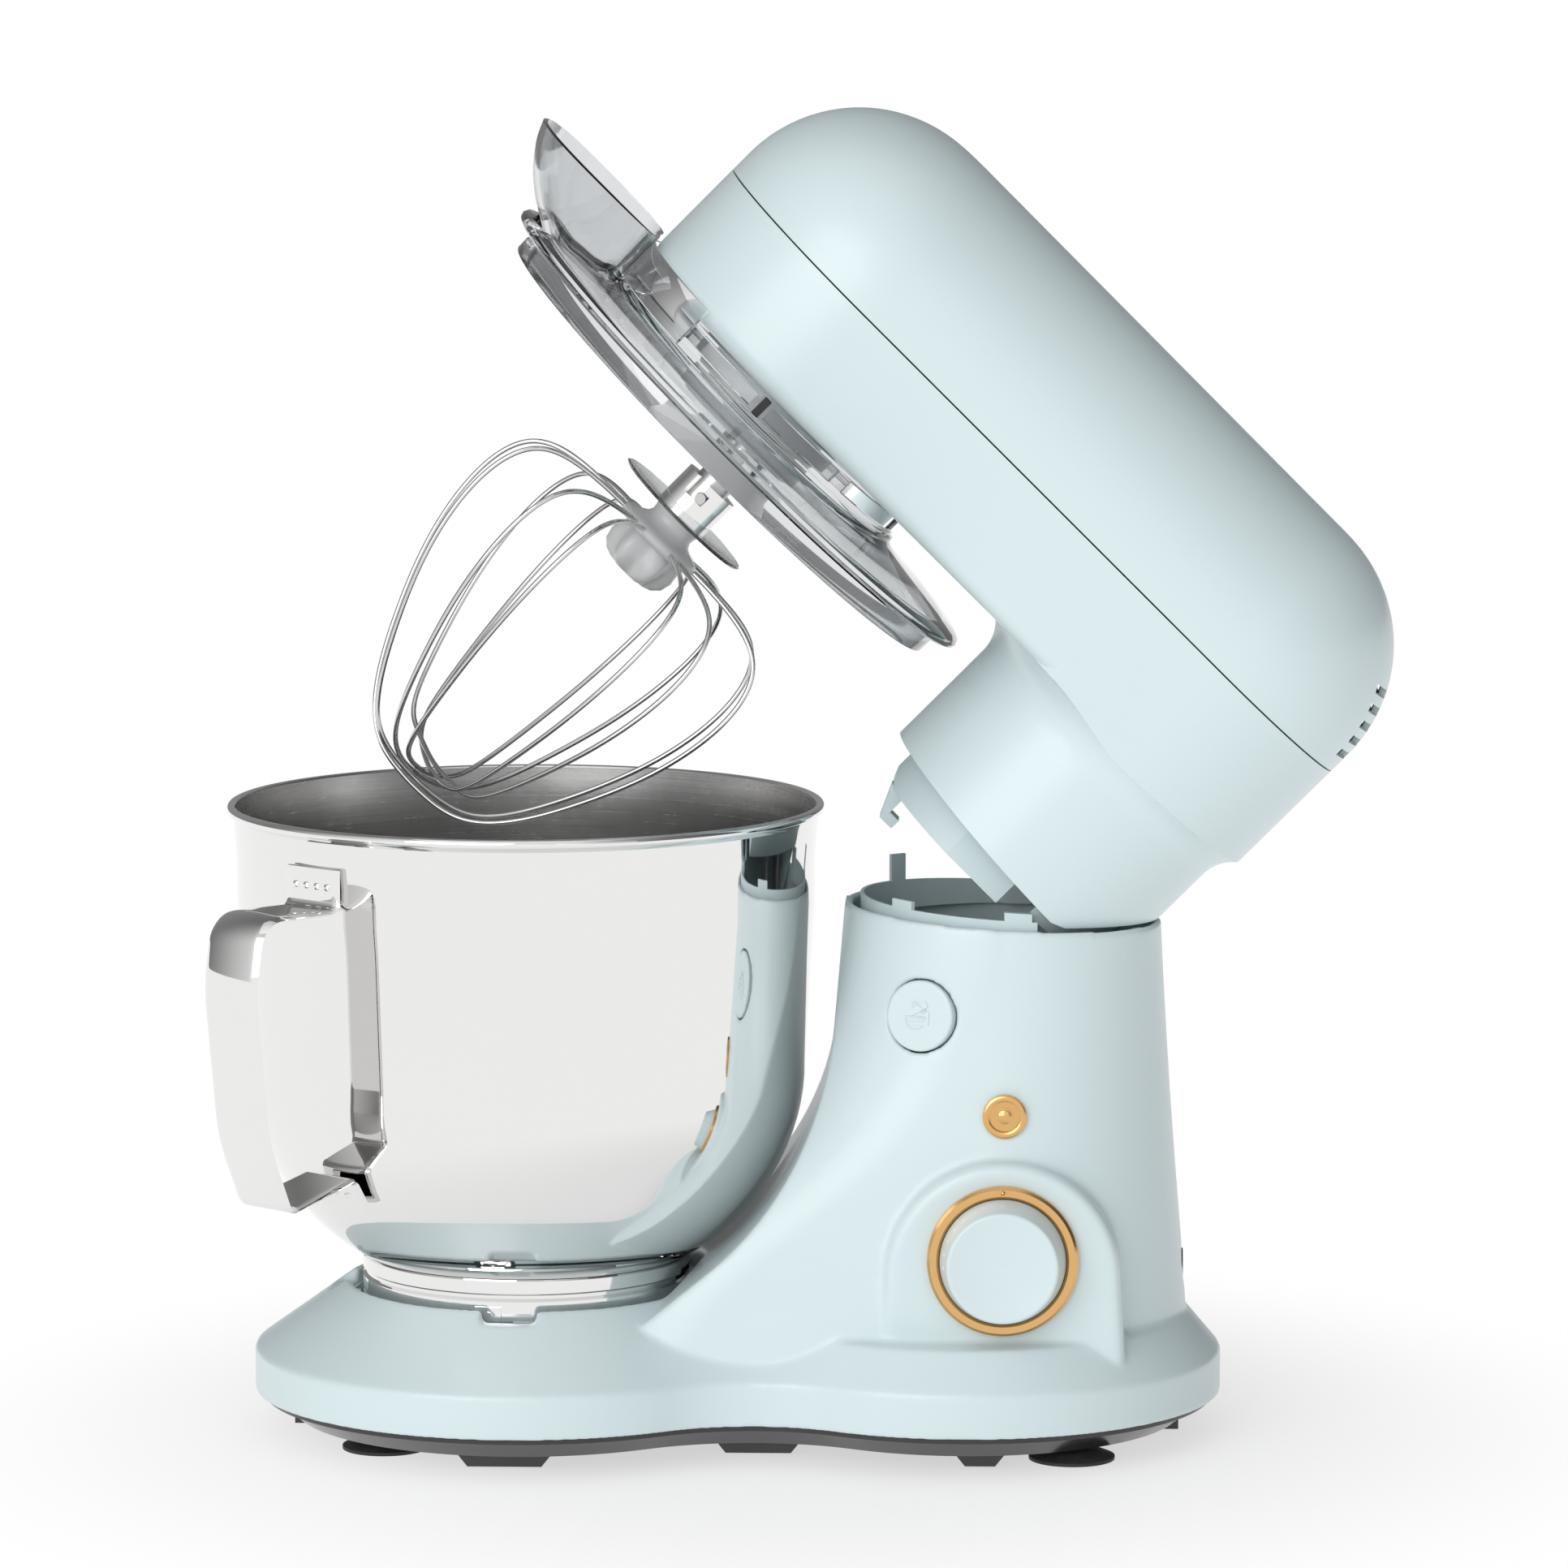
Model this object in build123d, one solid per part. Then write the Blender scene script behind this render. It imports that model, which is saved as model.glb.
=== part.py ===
from build123d import *
import os
from math import acos, atan2, cos, degrees, hypot, pi, radians, sin, sqrt, tan

# Tilt-head stand mixer. Millimetres, +Z up. The origin is on the worktop, under the bowl's axis.
# +X runs from the bowl to the column, and -Y is the side with the speed knob.
# The head is modelled level and turned up about the hinge pin at the end: the part rests with its head raised.

# ---------------------------------------------------------------- driving dimensions
WALL = 3.0                     # stand moulding
HEAD_WALL = 2.5                # head mouldings
GAP = 0.3                      # assembly gap between separate curved pieces
WELD_GAP = 0.1                 # gap left between curved pieces that are welded together
SHAFT_FIT = 0.05               # radial running clearance of a shaft

HINGE_X, HINGE_Z = 203.6, 209.7
HEAD_TILT = 45.0
HINGE_PIN_R = 5.0

BASE_FRONT_R = 102.0           # plan circle under the bowl
BASE_REAR_R = 95.6             # plan circle under the column
BASE_REAR_X = 163.0
BASE_WAIST_R = 57.5            # hollow arc between the two circles
BASE_BOTTOM, BASE_CREASE, BASE_TOP = 15.0, 31.0, 45.6
BASE_TOP_FRONT_R, BASE_TOP_REAR_R, BASE_TOP_WAIST_R = 81.6, 83.3, 76.0
RECESS_R = 66.0                # recess that takes the bowl's foot
RECESS_FLOOR, RECESS_RIM = 41.0, 56.0

COLUMN_X = 178.0               # centre of the column's round rim
COLUMN_R = 57.0
RIM_X, RIM_Z, RIM_SLOPE = 121.0, 199.0, 3.5   # sloping rim plane of the column
# Column sections: height, rear arc (centre x, radius), front arc (centre x, radius)
COLUMN_SECTIONS = (
    (28.0, 172.5, 74.0, 62.0, 71.0),
    (45.0, 175.3, 70.4, 66.0, 67.5),
    (80.0, 176.6, 66.5, 98.0, 64.0),
    (125.0, 177.2, 62.3, 150.0, 60.5),
    (165.0, 177.6, 59.3, 171.0, 59.0),
    (205.0, 178.0, 57.0, 176.5, 57.0),
)
SWOOP_X, SWOOP_Z, SWOOP_R = -8.1, 165.0, 123.5   # hollow front edge of the column, seen from the side
SWOOP_TOP, SWOOP_END = -4.6, -51.0               # angles where the arc runs into its tangents
BOWL_CLEARANCE = 4.0           # between the bowl and the column's arms

BOWL_R = 107.2                 # bowl wall outside
BOWL_WALL = 1.1
BOWL_RIM_Z = 235.0
BOWL_BEAD_R = 1.8
BOWL_CURVE_X, BOWL_CURVE_Z, BOWL_CURVE_R = 20.8, 139.0, 83.0
FOOT_R = 61.6                  # bowl foot ring
FOOT_WALL = 1.6
FOOT_BOTTOM = 45.2
BOWL_LUG_ANGLE = -100.0
LUG_COUNT = 4
LUG_WIDTH = 14.0
BOWL_TWIST = 20.0
LUG_REACH = 3.0

HANDLE_ANGLE = 229.0           # about Z from +X
HANDLE_WIDTH = 27.5
HANDLE_SHEET = 2.2
HANDLE_REACH = 151.0
HANDLE_TOP, HANDLE_BOTTOM = 207.0, 98.0
HANDLE_FLANGE = 14.0

POD_X, POD_HALF, POD_TOP, POD_BOTTOM = 177.5, 43.0, 112.0, 34.0
POD_FACE = 70.0
POD_ROUND = 4.0
DIAL_Z = 76.4
DIAL_R, DIAL_BORE, DIAL_HEIGHT = 27.5, 23.3, 4.0
KNOB_R, KNOB_FACE_R, KNOB_HEIGHT = 22.9, 20.4, 17.0
KNOB_DISH = 1.7
KNOB_SHAFT_R = 3.0
BUTTON_X, BUTTON_Y, BUTTON_Z = 147.0, -54.2, 163.6
BUTTON_R = 13.0
BUTTON_ANGLE, BUTTON_LEAN = 247.0, 7.0   # outward direction of the button about Z, and its upward lean
BUTTON_GAP = 0.45
BADGE_Z, BADGE_R = 128.0, 8.0
INLET_X, INLET_Z, INLET_R = 241.2, 62.0, 6.0

SUCTION_PLACES = [(x, side * y) for x, y in ((-50.0, 45.0), (203.0, 55.0)) for side in (-1, 1)]
SCREW_PLACES = [(x, side * y) for x, y in ((-20.0, 55.0), (87.0, 28.0), (190.0, 50.0)) for side in (-1, 1)]
BRACKET_CHEEKS = (9.0, 13.0)
ARM_SPAN = (15.0, 20.0)
BRACKET_BASE = 146.0

HEAD_FRONT_X, HEAD_FRONT_R = -1.0, 68.0
HEAD_REAR_X, HEAD_REAR_R = 181.3, 62.0
HEAD_FLOOR, HEAD_SEAM, HEAD_TOP = 259.0, 303.5, 368.7
HEAD_DOME_R = 57.0
SEAM_GAP = 0.6
NECK_X, NECK_R = 179.5, 58.0
THROAT_R = 16.0
NECK_GAP = 1.0
NOSE_R = 33.0
FRAME_SCREWS = [(x, side * 36.0) for x in (-30.0, 90.0) for side in (-1, 1)]

SHIELD_SKIRT_R, SHIELD_FLANGE_R, SHIELD_COLLAR_R = 104.8, 112.5, 65.0
SHIELD_BOTTOM, SHIELD_DECK, SHIELD_TOP = 227.3, 236.6, 258.5
SHIELD_WALL = 2.0
CHUTE_FOOT_X, CHUTE_DECK_X, CHUTE_LIP_X, CHUTE_INNER_X = 98.0, 107.8, 129.0, 70.0
CHUTE_FOOT_HALF, CHUTE_DECK_HALF, CHUTE_LIP_HALF = 24.0, 28.0, 36.0
CHUTE_TOP = 267.5

PLANET_OFFSET = 16.0
PLANET_ANGLE = -63.3
PLANET_SHAFT_R = 7.0
RING_TEETH, PLANET_TEETH = 50, 18
PLANET_MODULE = 2 * PLANET_OFFSET / (RING_TEETH - PLANET_TEETH)
DRIVE_TEETH, PINION_TEETH, DRIVE_MODULE = 48, 16, 1.25
GEAR_LOW = 270.0               # underside of the drive gear
LAYSHAFT_X = DRIVE_MODULE * (DRIVE_TEETH + PINION_TEETH) / 2
PULLEY_LARGE_R, PULLEY_SMALL_R = 30.0, 10.0
BELT_Z, BELT_WIDTH, BELT_THICK = 340.0, 7.4, 2.0
MOTOR_X, MOTOR_Z, STATOR_R, ROTOR_R = 185.0, 262.0, 40.0, 22.5
MOTOR_SHAFT_R = 4.0

WHISK_LOOPS = 6
WHISK_WIRE_R = 0.95
WHISK_TWIST = 25.0             # turn that frees the whisk from its cross pin
WHISK_TIP_Z, WHISK_LOOP_STEP = 60.8, 2.3

HINGE_AXIS = Axis((HINGE_X, 0, HINGE_Z), (0, 1, 0))


# ---------------------------------------------------------------- shared shapes
def cyl(radius, low, high, x=0.0, y=0.0):
    """Upright cylinder."""
    return Pos(x, y, (low + high) / 2) * Cylinder(radius, high - low)


def ring(outer, inner, low, high, x=0.0, y=0.0):
    """Upright ring."""
    return cyl(outer, low, high, x, y) - cyl(inner, low - 1, high + 1, x, y)


def block(x0, x1, y0, y1, z0, z1):
    """Block between two corners."""
    return Pos((x0 + x1) / 2, (y0 + y1) / 2, (z0 + z1) / 2) * Box(x1 - x0, y1 - y0, z1 - z0)


def lathe(points, x=0.0, y=0.0):
    """Solid turned about an upright axis from a closed (radius, height) outline."""
    face = make_face(Plane.XZ * Polyline(*points, close=True))
    return Pos(x, y, 0) * revolve(face, Axis.Z)


def side_profile(points, half_width):
    """Slab with an outline in the XZ plane, centred on y = 0."""
    return extrude(make_face(Plane.XZ * Polyline(*points, close=True)), half_width, both=True)


def around(piece, count, start=0.0):
    """Copies of a piece at equal turns about Z, as one group."""
    return [Rot(0, 0, start + 360 * k / count) * piece for k in range(count)]


def stadium(z, rear_x, rear_r, front_x, front_r):
    """Outline of two circles joined by their outer tangents."""
    lean = (front_r - rear_r) / (rear_x - front_x)
    rise = sqrt(1 - lean * lean)
    front = (front_x + front_r * lean, front_r * rise)
    rear = (rear_x + rear_r * lean, rear_r * rise)
    edges = (
        Edge.make_three_point_arc((front[0], front[1], z), (front_x - front_r, 0, z), (front[0], -front[1], z)),
        Edge.make_line((front[0], -front[1], z), (rear[0], -rear[1], z)),
        Edge.make_three_point_arc((rear[0], -rear[1], z), (rear_x + rear_r, 0, z), (rear[0], rear[1], z)),
        Edge.make_line((rear[0], rear[1], z), (front[0], front[1], z)),
    )
    return Face(Wire(edges))


def waisted(z, front_r, rear_r, waist_r):
    """Base outline: two circles joined by hollow tangent arcs."""
    near, far = front_r + waist_r, rear_r + waist_r
    waist_x = (BASE_REAR_X**2 + near**2 - far**2) / (2 * BASE_REAR_X)
    waist_y = sqrt(near**2 - waist_x**2)
    front = (front_r * waist_x / near, front_r * waist_y / near)
    rear = (BASE_REAR_X + rear_r * (waist_x - BASE_REAR_X) / far, rear_r * waist_y / far)
    middle = waist_y - waist_r
    edges = (
        Edge.make_three_point_arc((front[0], front[1], z), (-front_r, 0, z), (front[0], -front[1], z)),
        Edge.make_three_point_arc((front[0], -front[1], z), (waist_x, -middle, z), (rear[0], -rear[1], z)),
        Edge.make_three_point_arc((rear[0], -rear[1], z), (BASE_REAR_X + rear_r, 0, z), (rear[0], rear[1], z)),
        Edge.make_three_point_arc((rear[0], rear[1], z), (waist_x, middle, z), (front[0], front[1], z)),
    )
    return Face(Wire(edges))


def base_outline(z, inset):
    """The base's outline at full width, drawn in by an inset."""
    return waisted(z, BASE_FRONT_R - inset, BASE_REAR_R - inset, BASE_WAIST_R + inset)


def below_rim(gap):
    """Half-space under the column's sloping rim plane, raised by a gap."""
    lean = Plane(
        origin=(RIM_X, 0, RIM_Z + gap),
        x_dir=(cos(radians(RIM_SLOPE)), 0, -sin(radians(RIM_SLOPE))),
        z_dir=(sin(radians(RIM_SLOPE)), 0, cos(radians(RIM_SLOPE))),
    )
    return lean * Pos(0, 0, -200) * Box(800, 400, 400)


def raise_head(shape):
    """Turns a piece of the level head up to its resting angle."""
    return shape.rotate(HINGE_AXIS, HEAD_TILT)


def gear(teeth, module, width, addendum=1.0, dedendum=1.25, slack=0.12, turn=0.0):
    """Involute spur gear about Z. Slack thins each tooth; a negative slack widens it."""
    pitch_r = module * teeth / 2
    base_r = pitch_r * cos(radians(20))
    tip_r, root_r = pitch_r + addendum * module, pitch_r - dedendum * module
    half = pi / (2 * teeth) - slack / (2 * pitch_r)

    def flank(radius):
        lean = acos(min(1.0, base_r / radius))
        return half + tan(radians(20)) - radians(20) - (tan(lean) - lean)

    start_r = max(base_r, root_r)
    middle_r = (start_r + tip_r) / 2
    edges = []
    for tooth in range(teeth):
        centre = radians(turn) + 2 * pi * tooth / teeth

        def at(radius, angle):
            return (radius * cos(centre + angle), radius * sin(centre + angle), 0)

        low, mid, top = flank(start_r), flank(middle_r), flank(tip_r)
        step = 2 * pi / teeth
        if root_r < start_r - 0.01:
            edges.append(Edge.make_line(at(root_r, -low), at(start_r, -low)))
        edges.append(Edge.make_three_point_arc(at(start_r, -low), at(middle_r, -mid), at(tip_r, -top)))
        edges.append(Edge.make_three_point_arc(at(tip_r, -top), at(tip_r, 0), at(tip_r, top)))
        edges.append(Edge.make_three_point_arc(at(tip_r, top), at(middle_r, mid), at(start_r, low)))
        if root_r < start_r - 0.01:
            edges.append(Edge.make_line(at(start_r, low), at(root_r, low)))
        edges.append(
            Edge.make_three_point_arc(at(root_r, low), at(root_r, step / 2), at(root_r, step - low))
        )
    return extrude(Face(Wire(edges)), width)


def strip(points, radii, sheet, width):
    """Sheet-metal strip whose middle line is a filleted polyline in the XZ plane."""
    line = Plane.XZ * FilletPolyline(*points, radius=radii)
    path = Wire(line.edges())
    start = path @ 0
    section = Plane(origin=start, z_dir=path % 0, x_dir=(0, 1, 0)) * Rectangle(width, sheet)
    return sweep(section, path)


# ---------------------------------------------------------------- stand
def swoop_slab(inset):
    """Everything behind the column's hollow front edge, as seen from the side."""
    radius = SWOOP_R + inset

    def at(angle, length=0.0):
        turn = radians(angle)
        return (SWOOP_X + radius * cos(turn) + length * sin(turn), SWOOP_Z + radius * sin(turn) - length * cos(turn))

    top, low = at(SWOOP_TOP, -90), at(SWOOP_END, 90)
    outline = Plane.XZ * (
        Line(top, at(SWOOP_TOP))
        + ThreePointArc(at(SWOOP_TOP), at((SWOOP_TOP + SWOOP_END) / 2), at(SWOOP_END))
        + Polyline(at(SWOOP_END), low, (300, low[1]), (300, top[1]), top)
    )
    return extrude(make_face(outline), 150, both=True)


def bowl_room(inset):
    """Room that the bowl and its clearance take from the column."""
    radius = BOWL_CURVE_R + BOWL_CLEARANCE + inset
    wall = BOWL_CURVE_X + radius
    low = (BOWL_CURVE_X, BOWL_CURVE_Z - radius)
    bend = (BOWL_CURVE_X + radius * cos(pi / 4), BOWL_CURVE_Z - radius * sin(pi / 4))
    outline = Plane.XZ * (
        Line((0, 300), (0, low[1]))
        + Line((0, low[1]), low)
        + ThreePointArc(low, bend, (wall, BOWL_CURVE_Z))
        + Polyline((wall, BOWL_CURVE_Z), (wall + 5, 220), (wall + 5, 300), (0, 300))
    )
    return revolve(make_face(outline), Axis.Z)


def pod(inset):
    """Arched boss that carries the speed knob."""
    half = POD_HALF - inset
    side = POD_TOP - POD_HALF
    outline = Plane.XZ * (
        Line((POD_X - half - 2, POD_BOTTOM), (POD_X - half, side))
        + ThreePointArc((POD_X - half, side), (POD_X, side + half), (POD_X + half, side))
        + Polyline((POD_X + half, side), (POD_X + half + 2, POD_BOTTOM), (POD_X - half - 2, POD_BOTTOM))
    )
    body = extrude(make_face(outline), POD_FACE - inset, dir=(0, -1, 0))
    if inset == 0:
        rim = body.edges().filter_by(lambda e: e.center().Y < 1 - POD_FACE and e.center().Z > POD_BOTTOM + 1)
        body = fillet(rim, POD_ROUND)
    return body - block(0, 300, -30, 1, 0, 200)


def stand_body(inset):
    """The stand's outer form, or the form of its hollow when an inset is given."""
    low = BASE_BOTTOM if inset == 0 else BASE_BOTTOM - 5
    crease, top = BASE_CREASE - inset * 0.6, BASE_TOP - inset
    base = extrude(base_outline(low, inset), crease - low)
    sloped = waisted(top, BASE_TOP_FRONT_R - inset, BASE_TOP_REAR_R - inset, BASE_TOP_WAIST_R + inset)
    base += Solid.make_loft([base_outline(crease, inset).outer_wire(), sloped.outer_wire()], ruled=True)
    rim = RECESS_RIM - inset
    base += Pos(0, 0, (top + rim) / 2) * Cone(BASE_TOP_FRONT_R - inset, RECESS_R + 1.5 - inset * 0.6, rim - top)
    sections = [
        stadium(z, rear_x, rear_r - inset, front_x, front_r - inset).outer_wire()
        for z, rear_x, rear_r, front_x, front_r in COLUMN_SECTIONS
    ]
    column = Solid.make_loft(sections)
    column = column & swoop_slab(inset)
    column = column - bowl_room(inset)
    body = base + column + pod(inset)
    return body - cyl(RECESS_R + inset, RECESS_FLOOR - inset, 120)


def button_frame():
    """Plane on the column's side where the tilt button sits: its Z points outwards."""
    turn, lean = radians(BUTTON_ANGLE), radians(BUTTON_LEAN)
    out = (cos(turn) * cos(lean), sin(turn) * cos(lean), sin(lean))
    rise = (-cos(turn) * sin(lean), -sin(turn) * sin(lean), cos(lean))
    return Plane(origin=(BUTTON_X, BUTTON_Y, BUTTON_Z), x_dir=rise, z_dir=out)


def badge_depth():
    """Distance from the middle plane to the back of the badge."""
    return COLUMN_R + 4.6


def stand_shell():
    shell = stand_body(0) & below_rim(0)
    shell = shell - stand_body(WALL)
    shell += (cyl(COLUMN_R + 0.5, 140, 146, COLUMN_X) - cyl(48, 130, 160, COLUMN_X))
    shell += ring(RECESS_R + WALL, RECESS_R - 14, RECESS_FLOOR - WALL, RECESS_FLOOR)
    for notch in around(block(RECESS_R - 4, RECESS_R + 8, -10, 10, 51.5, 60), LUG_COUNT, BOWL_LUG_ANGLE + 8):
        shell -= notch
    shell -= Pos(POD_X, -POD_FACE, DIAL_Z) * Rot(90, 0, 0) * Cylinder(KNOB_SHAFT_R + 3, 30)
    shell -= button_frame() * Cylinder(BUTTON_R + BUTTON_GAP, 40)
    shell -= Pos(COLUMN_X, -badge_depth() - 10, BADGE_Z) * Rot(90, 0, 0) * Cylinder(BADGE_R + 0.3, 20)
    shell -= Pos(INLET_X + 3, 0, INLET_Z) * Rot(0, 90, 0) * Cylinder(INLET_R, 30)
    return shell


def bottom_plate():
    upper, low = BASE_BOTTOM - 2, 6.0
    skirt = Solid.make_loft([base_outline(low, 15).outer_wire(), base_outline(upper, 6).outer_wire()], ruled=True)
    skirt += extrude(base_outline(upper, WALL + GAP), 4)
    room = Solid.make_loft(
        [base_outline(low + 3, 18).outer_wire(), base_outline(upper + 0.1, 9).outer_wire()], ruled=True
    )
    skirt -= room
    skirt -= extrude(base_outline(upper, 9), 6)
    for x, y in SUCTION_PLACES:
        skirt -= cyl(4 + SHAFT_FIT, 0, 12, x, y)
    for x, y in SCREW_PLACES:
        skirt -= cyl(2.0, 0, 12, x, y)
    return skirt


def edge_feet():
    feet = []
    for x0, x1, y in ((-21.0, 14.0, 74.0), (72.0, 104.0, 48.0), (160.0, 179.0, 68.0)):
        foot = side_profile(((x0, 6), (x1, 6), (x1 - 4, 1), (x0 + 4, 1)), 7)
        feet += [Pos(0, side * y, 0) * foot for side in (-1, 1)]
    feet.append(block(-87.0, -81.0, -9, 9, 1, 6))
    feet.append(block(BASE_REAR_X + 72, BASE_REAR_X + 80, -9, 9, 1, 6))
    return feet


def suction_feet():
    cup = lathe(((0, 2.5), (9, 2.5), (12.5, 0), (15.8, 0), (15.8, 1.2), (10, 3.6), (6.5, 4.4), (6.5, 6), (4, 6), (4, 10), (0, 10)))
    return [Pos(x, y, 0) * cup for x, y in SUCTION_PLACES]


def bottom_screws():
    screw = lathe(((0, 4.0), (3.6, 4.0), (3.6, 5.4), (3.2, 6), (1.9, 6), (1.9, 12), (0, 12)))
    return [Pos(x, y, 0) * screw for x, y in SCREW_PLACES]


def bowl_seat():
    """Locking plate in the recess: a floor disc and a notched retaining lip."""
    floor = RECESS_FLOOR
    lip_low = FOOT_BOTTOM + 3.0
    plate = ring(RECESS_R - 0.2, 20, floor, floor + 2)
    plate += ring(RECESS_R - 0.2, FOOT_R + LUG_REACH + 0.6, floor, lip_low + 2)
    lip = ring(RECESS_R - 0.2, FOOT_R + 1.1, lip_low, lip_low + 2)
    for notch in around(block(FOOT_R - 2, RECESS_R + 2, -9.5, 9.5, lip_low - 1, lip_low + 3), LUG_COUNT, BOWL_LUG_ANGLE):
        lip -= notch
    plate += lip
    for hole in around(cyl(2.2, floor - 1, floor + 4, 40), 4, 45):
        plate -= hole
    return plate


def seat_screws():
    top = RECESS_FLOOR + 2
    screw = lathe(((0, top - 1.9), (2.1, top - 1.9), (2.1, top), (4, top), (4, top + 1), (2.5, top + 1.7), (0, top + 1.7)), 40)
    return around(screw, 4, 45)


def column_collar():
    """Lip inside the front of the column's rim, with the lugs that centre the closed neck."""
    def band(rise):
        return below_rim(rise) & cyl(COLUMN_R - WALL - 0.1, RIM_Z - 10, RIM_Z + 20, COLUMN_X)

    low = RIM_Z - 9
    lip = (band(3) - cyl(52.6, 0, 300, COLUMN_X)) & block(100, HINGE_X - 14, -60, 60, low, 240)
    for angle, width, rise, inner in ((225, 10, 6, 52.0), (275, 10, 6, 50.2), (140, 8, 13, 52.6), (85, 10, 6, 50.2)):
        wedge = Pos(COLUMN_X, 0, 0) * Rot(0, 0, angle) * block(inner, 60, -width / 2, width / 2, low, 240)
        lip += (band(rise) - cyl(inner, 0, 300, COLUMN_X)) & wedge
    return lip


def pivot_cyl(radius, low, high):
    """Cylinder along the hinge axis between two y values."""
    return Pos(HINGE_X, (low + high) / 2, HINGE_Z) * Rot(90, 0, 0) * Cylinder(radius, high - low)


def hinge_bracket():
    low, high = BRACKET_CHEEKS
    bracket = cyl(52, BRACKET_BASE, BRACKET_BASE + 4, COLUMN_X)
    bracket -= cyl(14, BRACKET_BASE - 1, BRACKET_BASE + 6, COLUMN_X - 28)
    for side in (-1, 1):
        y0, y1 = sorted((side * low, side * high))
        bracket += block(189, 204.5, y0, y1, BRACKET_BASE + 3, HINGE_Z)
        bracket += pivot_cyl(11, y0, y1)
    bracket += block(189, 193, -high, high, BRACKET_BASE + 3, 176)
    bracket += block(152, 168, -8, 8, BRACKET_BASE + 3, 184) - block(140, 190, -5.1, 5.1, 175.9, 181.1)
    return bracket - pivot_cyl(HINGE_PIN_R + 0.02, -40, 40)


def hinge_pin():
    pin = pivot_cyl(HINGE_PIN_R, -22.5, 22.5)
    return pin + pivot_cyl(7.5, 22.5, 24.5) + pivot_cyl(7.5, -24.5, -22.5)


def dial_ring():
    face = POD_FACE
    body = lathe(((DIAL_BORE, 0), (DIAL_R, 0), (DIAL_R, DIAL_HEIGHT - 1), (DIAL_R - 1, DIAL_HEIGHT), (DIAL_BORE + 0.8, DIAL_HEIGHT), (DIAL_BORE, DIAL_HEIGHT - 0.8)))
    body += Pos(0, (DIAL_R + DIAL_BORE) / 2, DIAL_HEIGHT - 0.2) * Sphere(0.9)
    return Pos(POD_X, -face, DIAL_Z) * Rot(90, 0, 0) * body


def speed_switch():
    back = POD_FACE - WALL
    body = block(POD_X - 16, POD_X + 16, -back + 0.5, -back + 22, DIAL_Z - 16, DIAL_Z + 16)
    body += Pos(POD_X, -back + 0.5, DIAL_Z) * Rot(90, 0, 0) * Cylinder(KNOB_SHAFT_R + 2.6, 5)
    return body - Pos(POD_X, -back, DIAL_Z) * Rot(90, 0, 0) * Cylinder(KNOB_SHAFT_R + SHAFT_FIT, 34)


def speed_knob():
    """Knob cap: a sloping flank for the numerals and a dished face."""
    foot = 0.6
    rise = KNOB_HEIGHT
    dish_r = KNOB_FACE_R - 1.4
    dish = KNOB_DISH
    sphere_r = (dish_r**2 + dish**2) / (2 * dish)
    half_dish = sphere_r - sqrt(sphere_r**2 - (dish_r / 2) ** 2)
    outline = Plane.XZ * (
        Polyline((0, foot + 3), (KNOB_R - 3, foot + 3), (KNOB_R - 3, foot), (KNOB_R, foot), (KNOB_R, 4.2), (KNOB_FACE_R, rise - 1.2))
        + ThreePointArc((KNOB_FACE_R, rise - 1.2), (KNOB_FACE_R - 0.5, rise - 0.2), (KNOB_FACE_R - 1.4, rise))
        + ThreePointArc((dish_r, rise), (dish_r / 2, rise - dish + half_dish), (0, rise - dish))
        + Line((0, rise - dish), (0, foot + 3))
    )
    cap = revolve(make_face(outline), Axis.Z)
    cap -= cyl(KNOB_SHAFT_R, 0, 12)
    return Pos(POD_X, -POD_FACE, DIAL_Z) * Rot(90, 0, 0) * cap


def knob_shaft():
    return Pos(POD_X, -POD_FACE, DIAL_Z) * Rot(90, 0, 0) * cyl(KNOB_SHAFT_R, -20, 12)


def control_board():
    board = block(150, 205, -40, -38.4, 92, 132)
    for x, z, size in ((160, 102, 7), (178, 118, 9), (194, 104, 6)):
        board += block(x - size, x + size, -38.4, -30, z - size / 2, z + size / 2)
    return board


def badge():
    out = badge_depth()
    plate = cyl(BADGE_R, 0, 1.2) + ring(BADGE_R, BADGE_R - 1.2, 1.2, 1.7) + cyl(3.2, 1.2, 1.7)
    return Pos(COLUMN_X, -out, BADGE_Z) * Rot(90, 0, 0) * plate


def cord_inlet():
    """Gland that lies flush with the back of the base, with its flange inside."""
    gland = ring(INLET_R - 0.1, 3.4, -3.5, 3.2) + ring(8.5, 3.4, -3.5, -0.9)
    return Pos(INLET_X, 0, INLET_Z) * Rot(0, 90, 0) * gland


def tilt_button():
    frame = button_frame()
    cap = cyl(BUTTON_R, -8, 0.9)
    cap = fillet(cap.edges().filter_by(lambda e: abs(e.center().Z - 0.9) < 0.01), 1.0)
    cap -= cyl(BUTTON_R - 2, -9, -1.5)
    cap += cyl(3, -16, -1.4)
    icon = block(-3.4, -2.2, -4, 4.4, 0.8, 1.3) + block(-2.3, 1.8, -4, -2.2, 0.8, 1.3)
    icon += Rot(0, 0, 30) * block(1.2, 3.6, -4.8, 2.4, 0.8, 1.3)
    return frame * (cap + icon)


def button_spring():
    coils = [Pos(0, 0, -10.2 - 1.3 * k) * Torus(5.2, 0.5) for k in range(4)]
    post = ring(5.4, 5.0, -14.6, -9.7)
    return button_frame() * (coils[0] + coils[1] + coils[2] + coils[3] + post)


def latch_bolt():
    bolt = block(146, 178, -5, 5, 176, 181) + block(170, 178, -5, 5, 168, 176.5)
    return bolt


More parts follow.
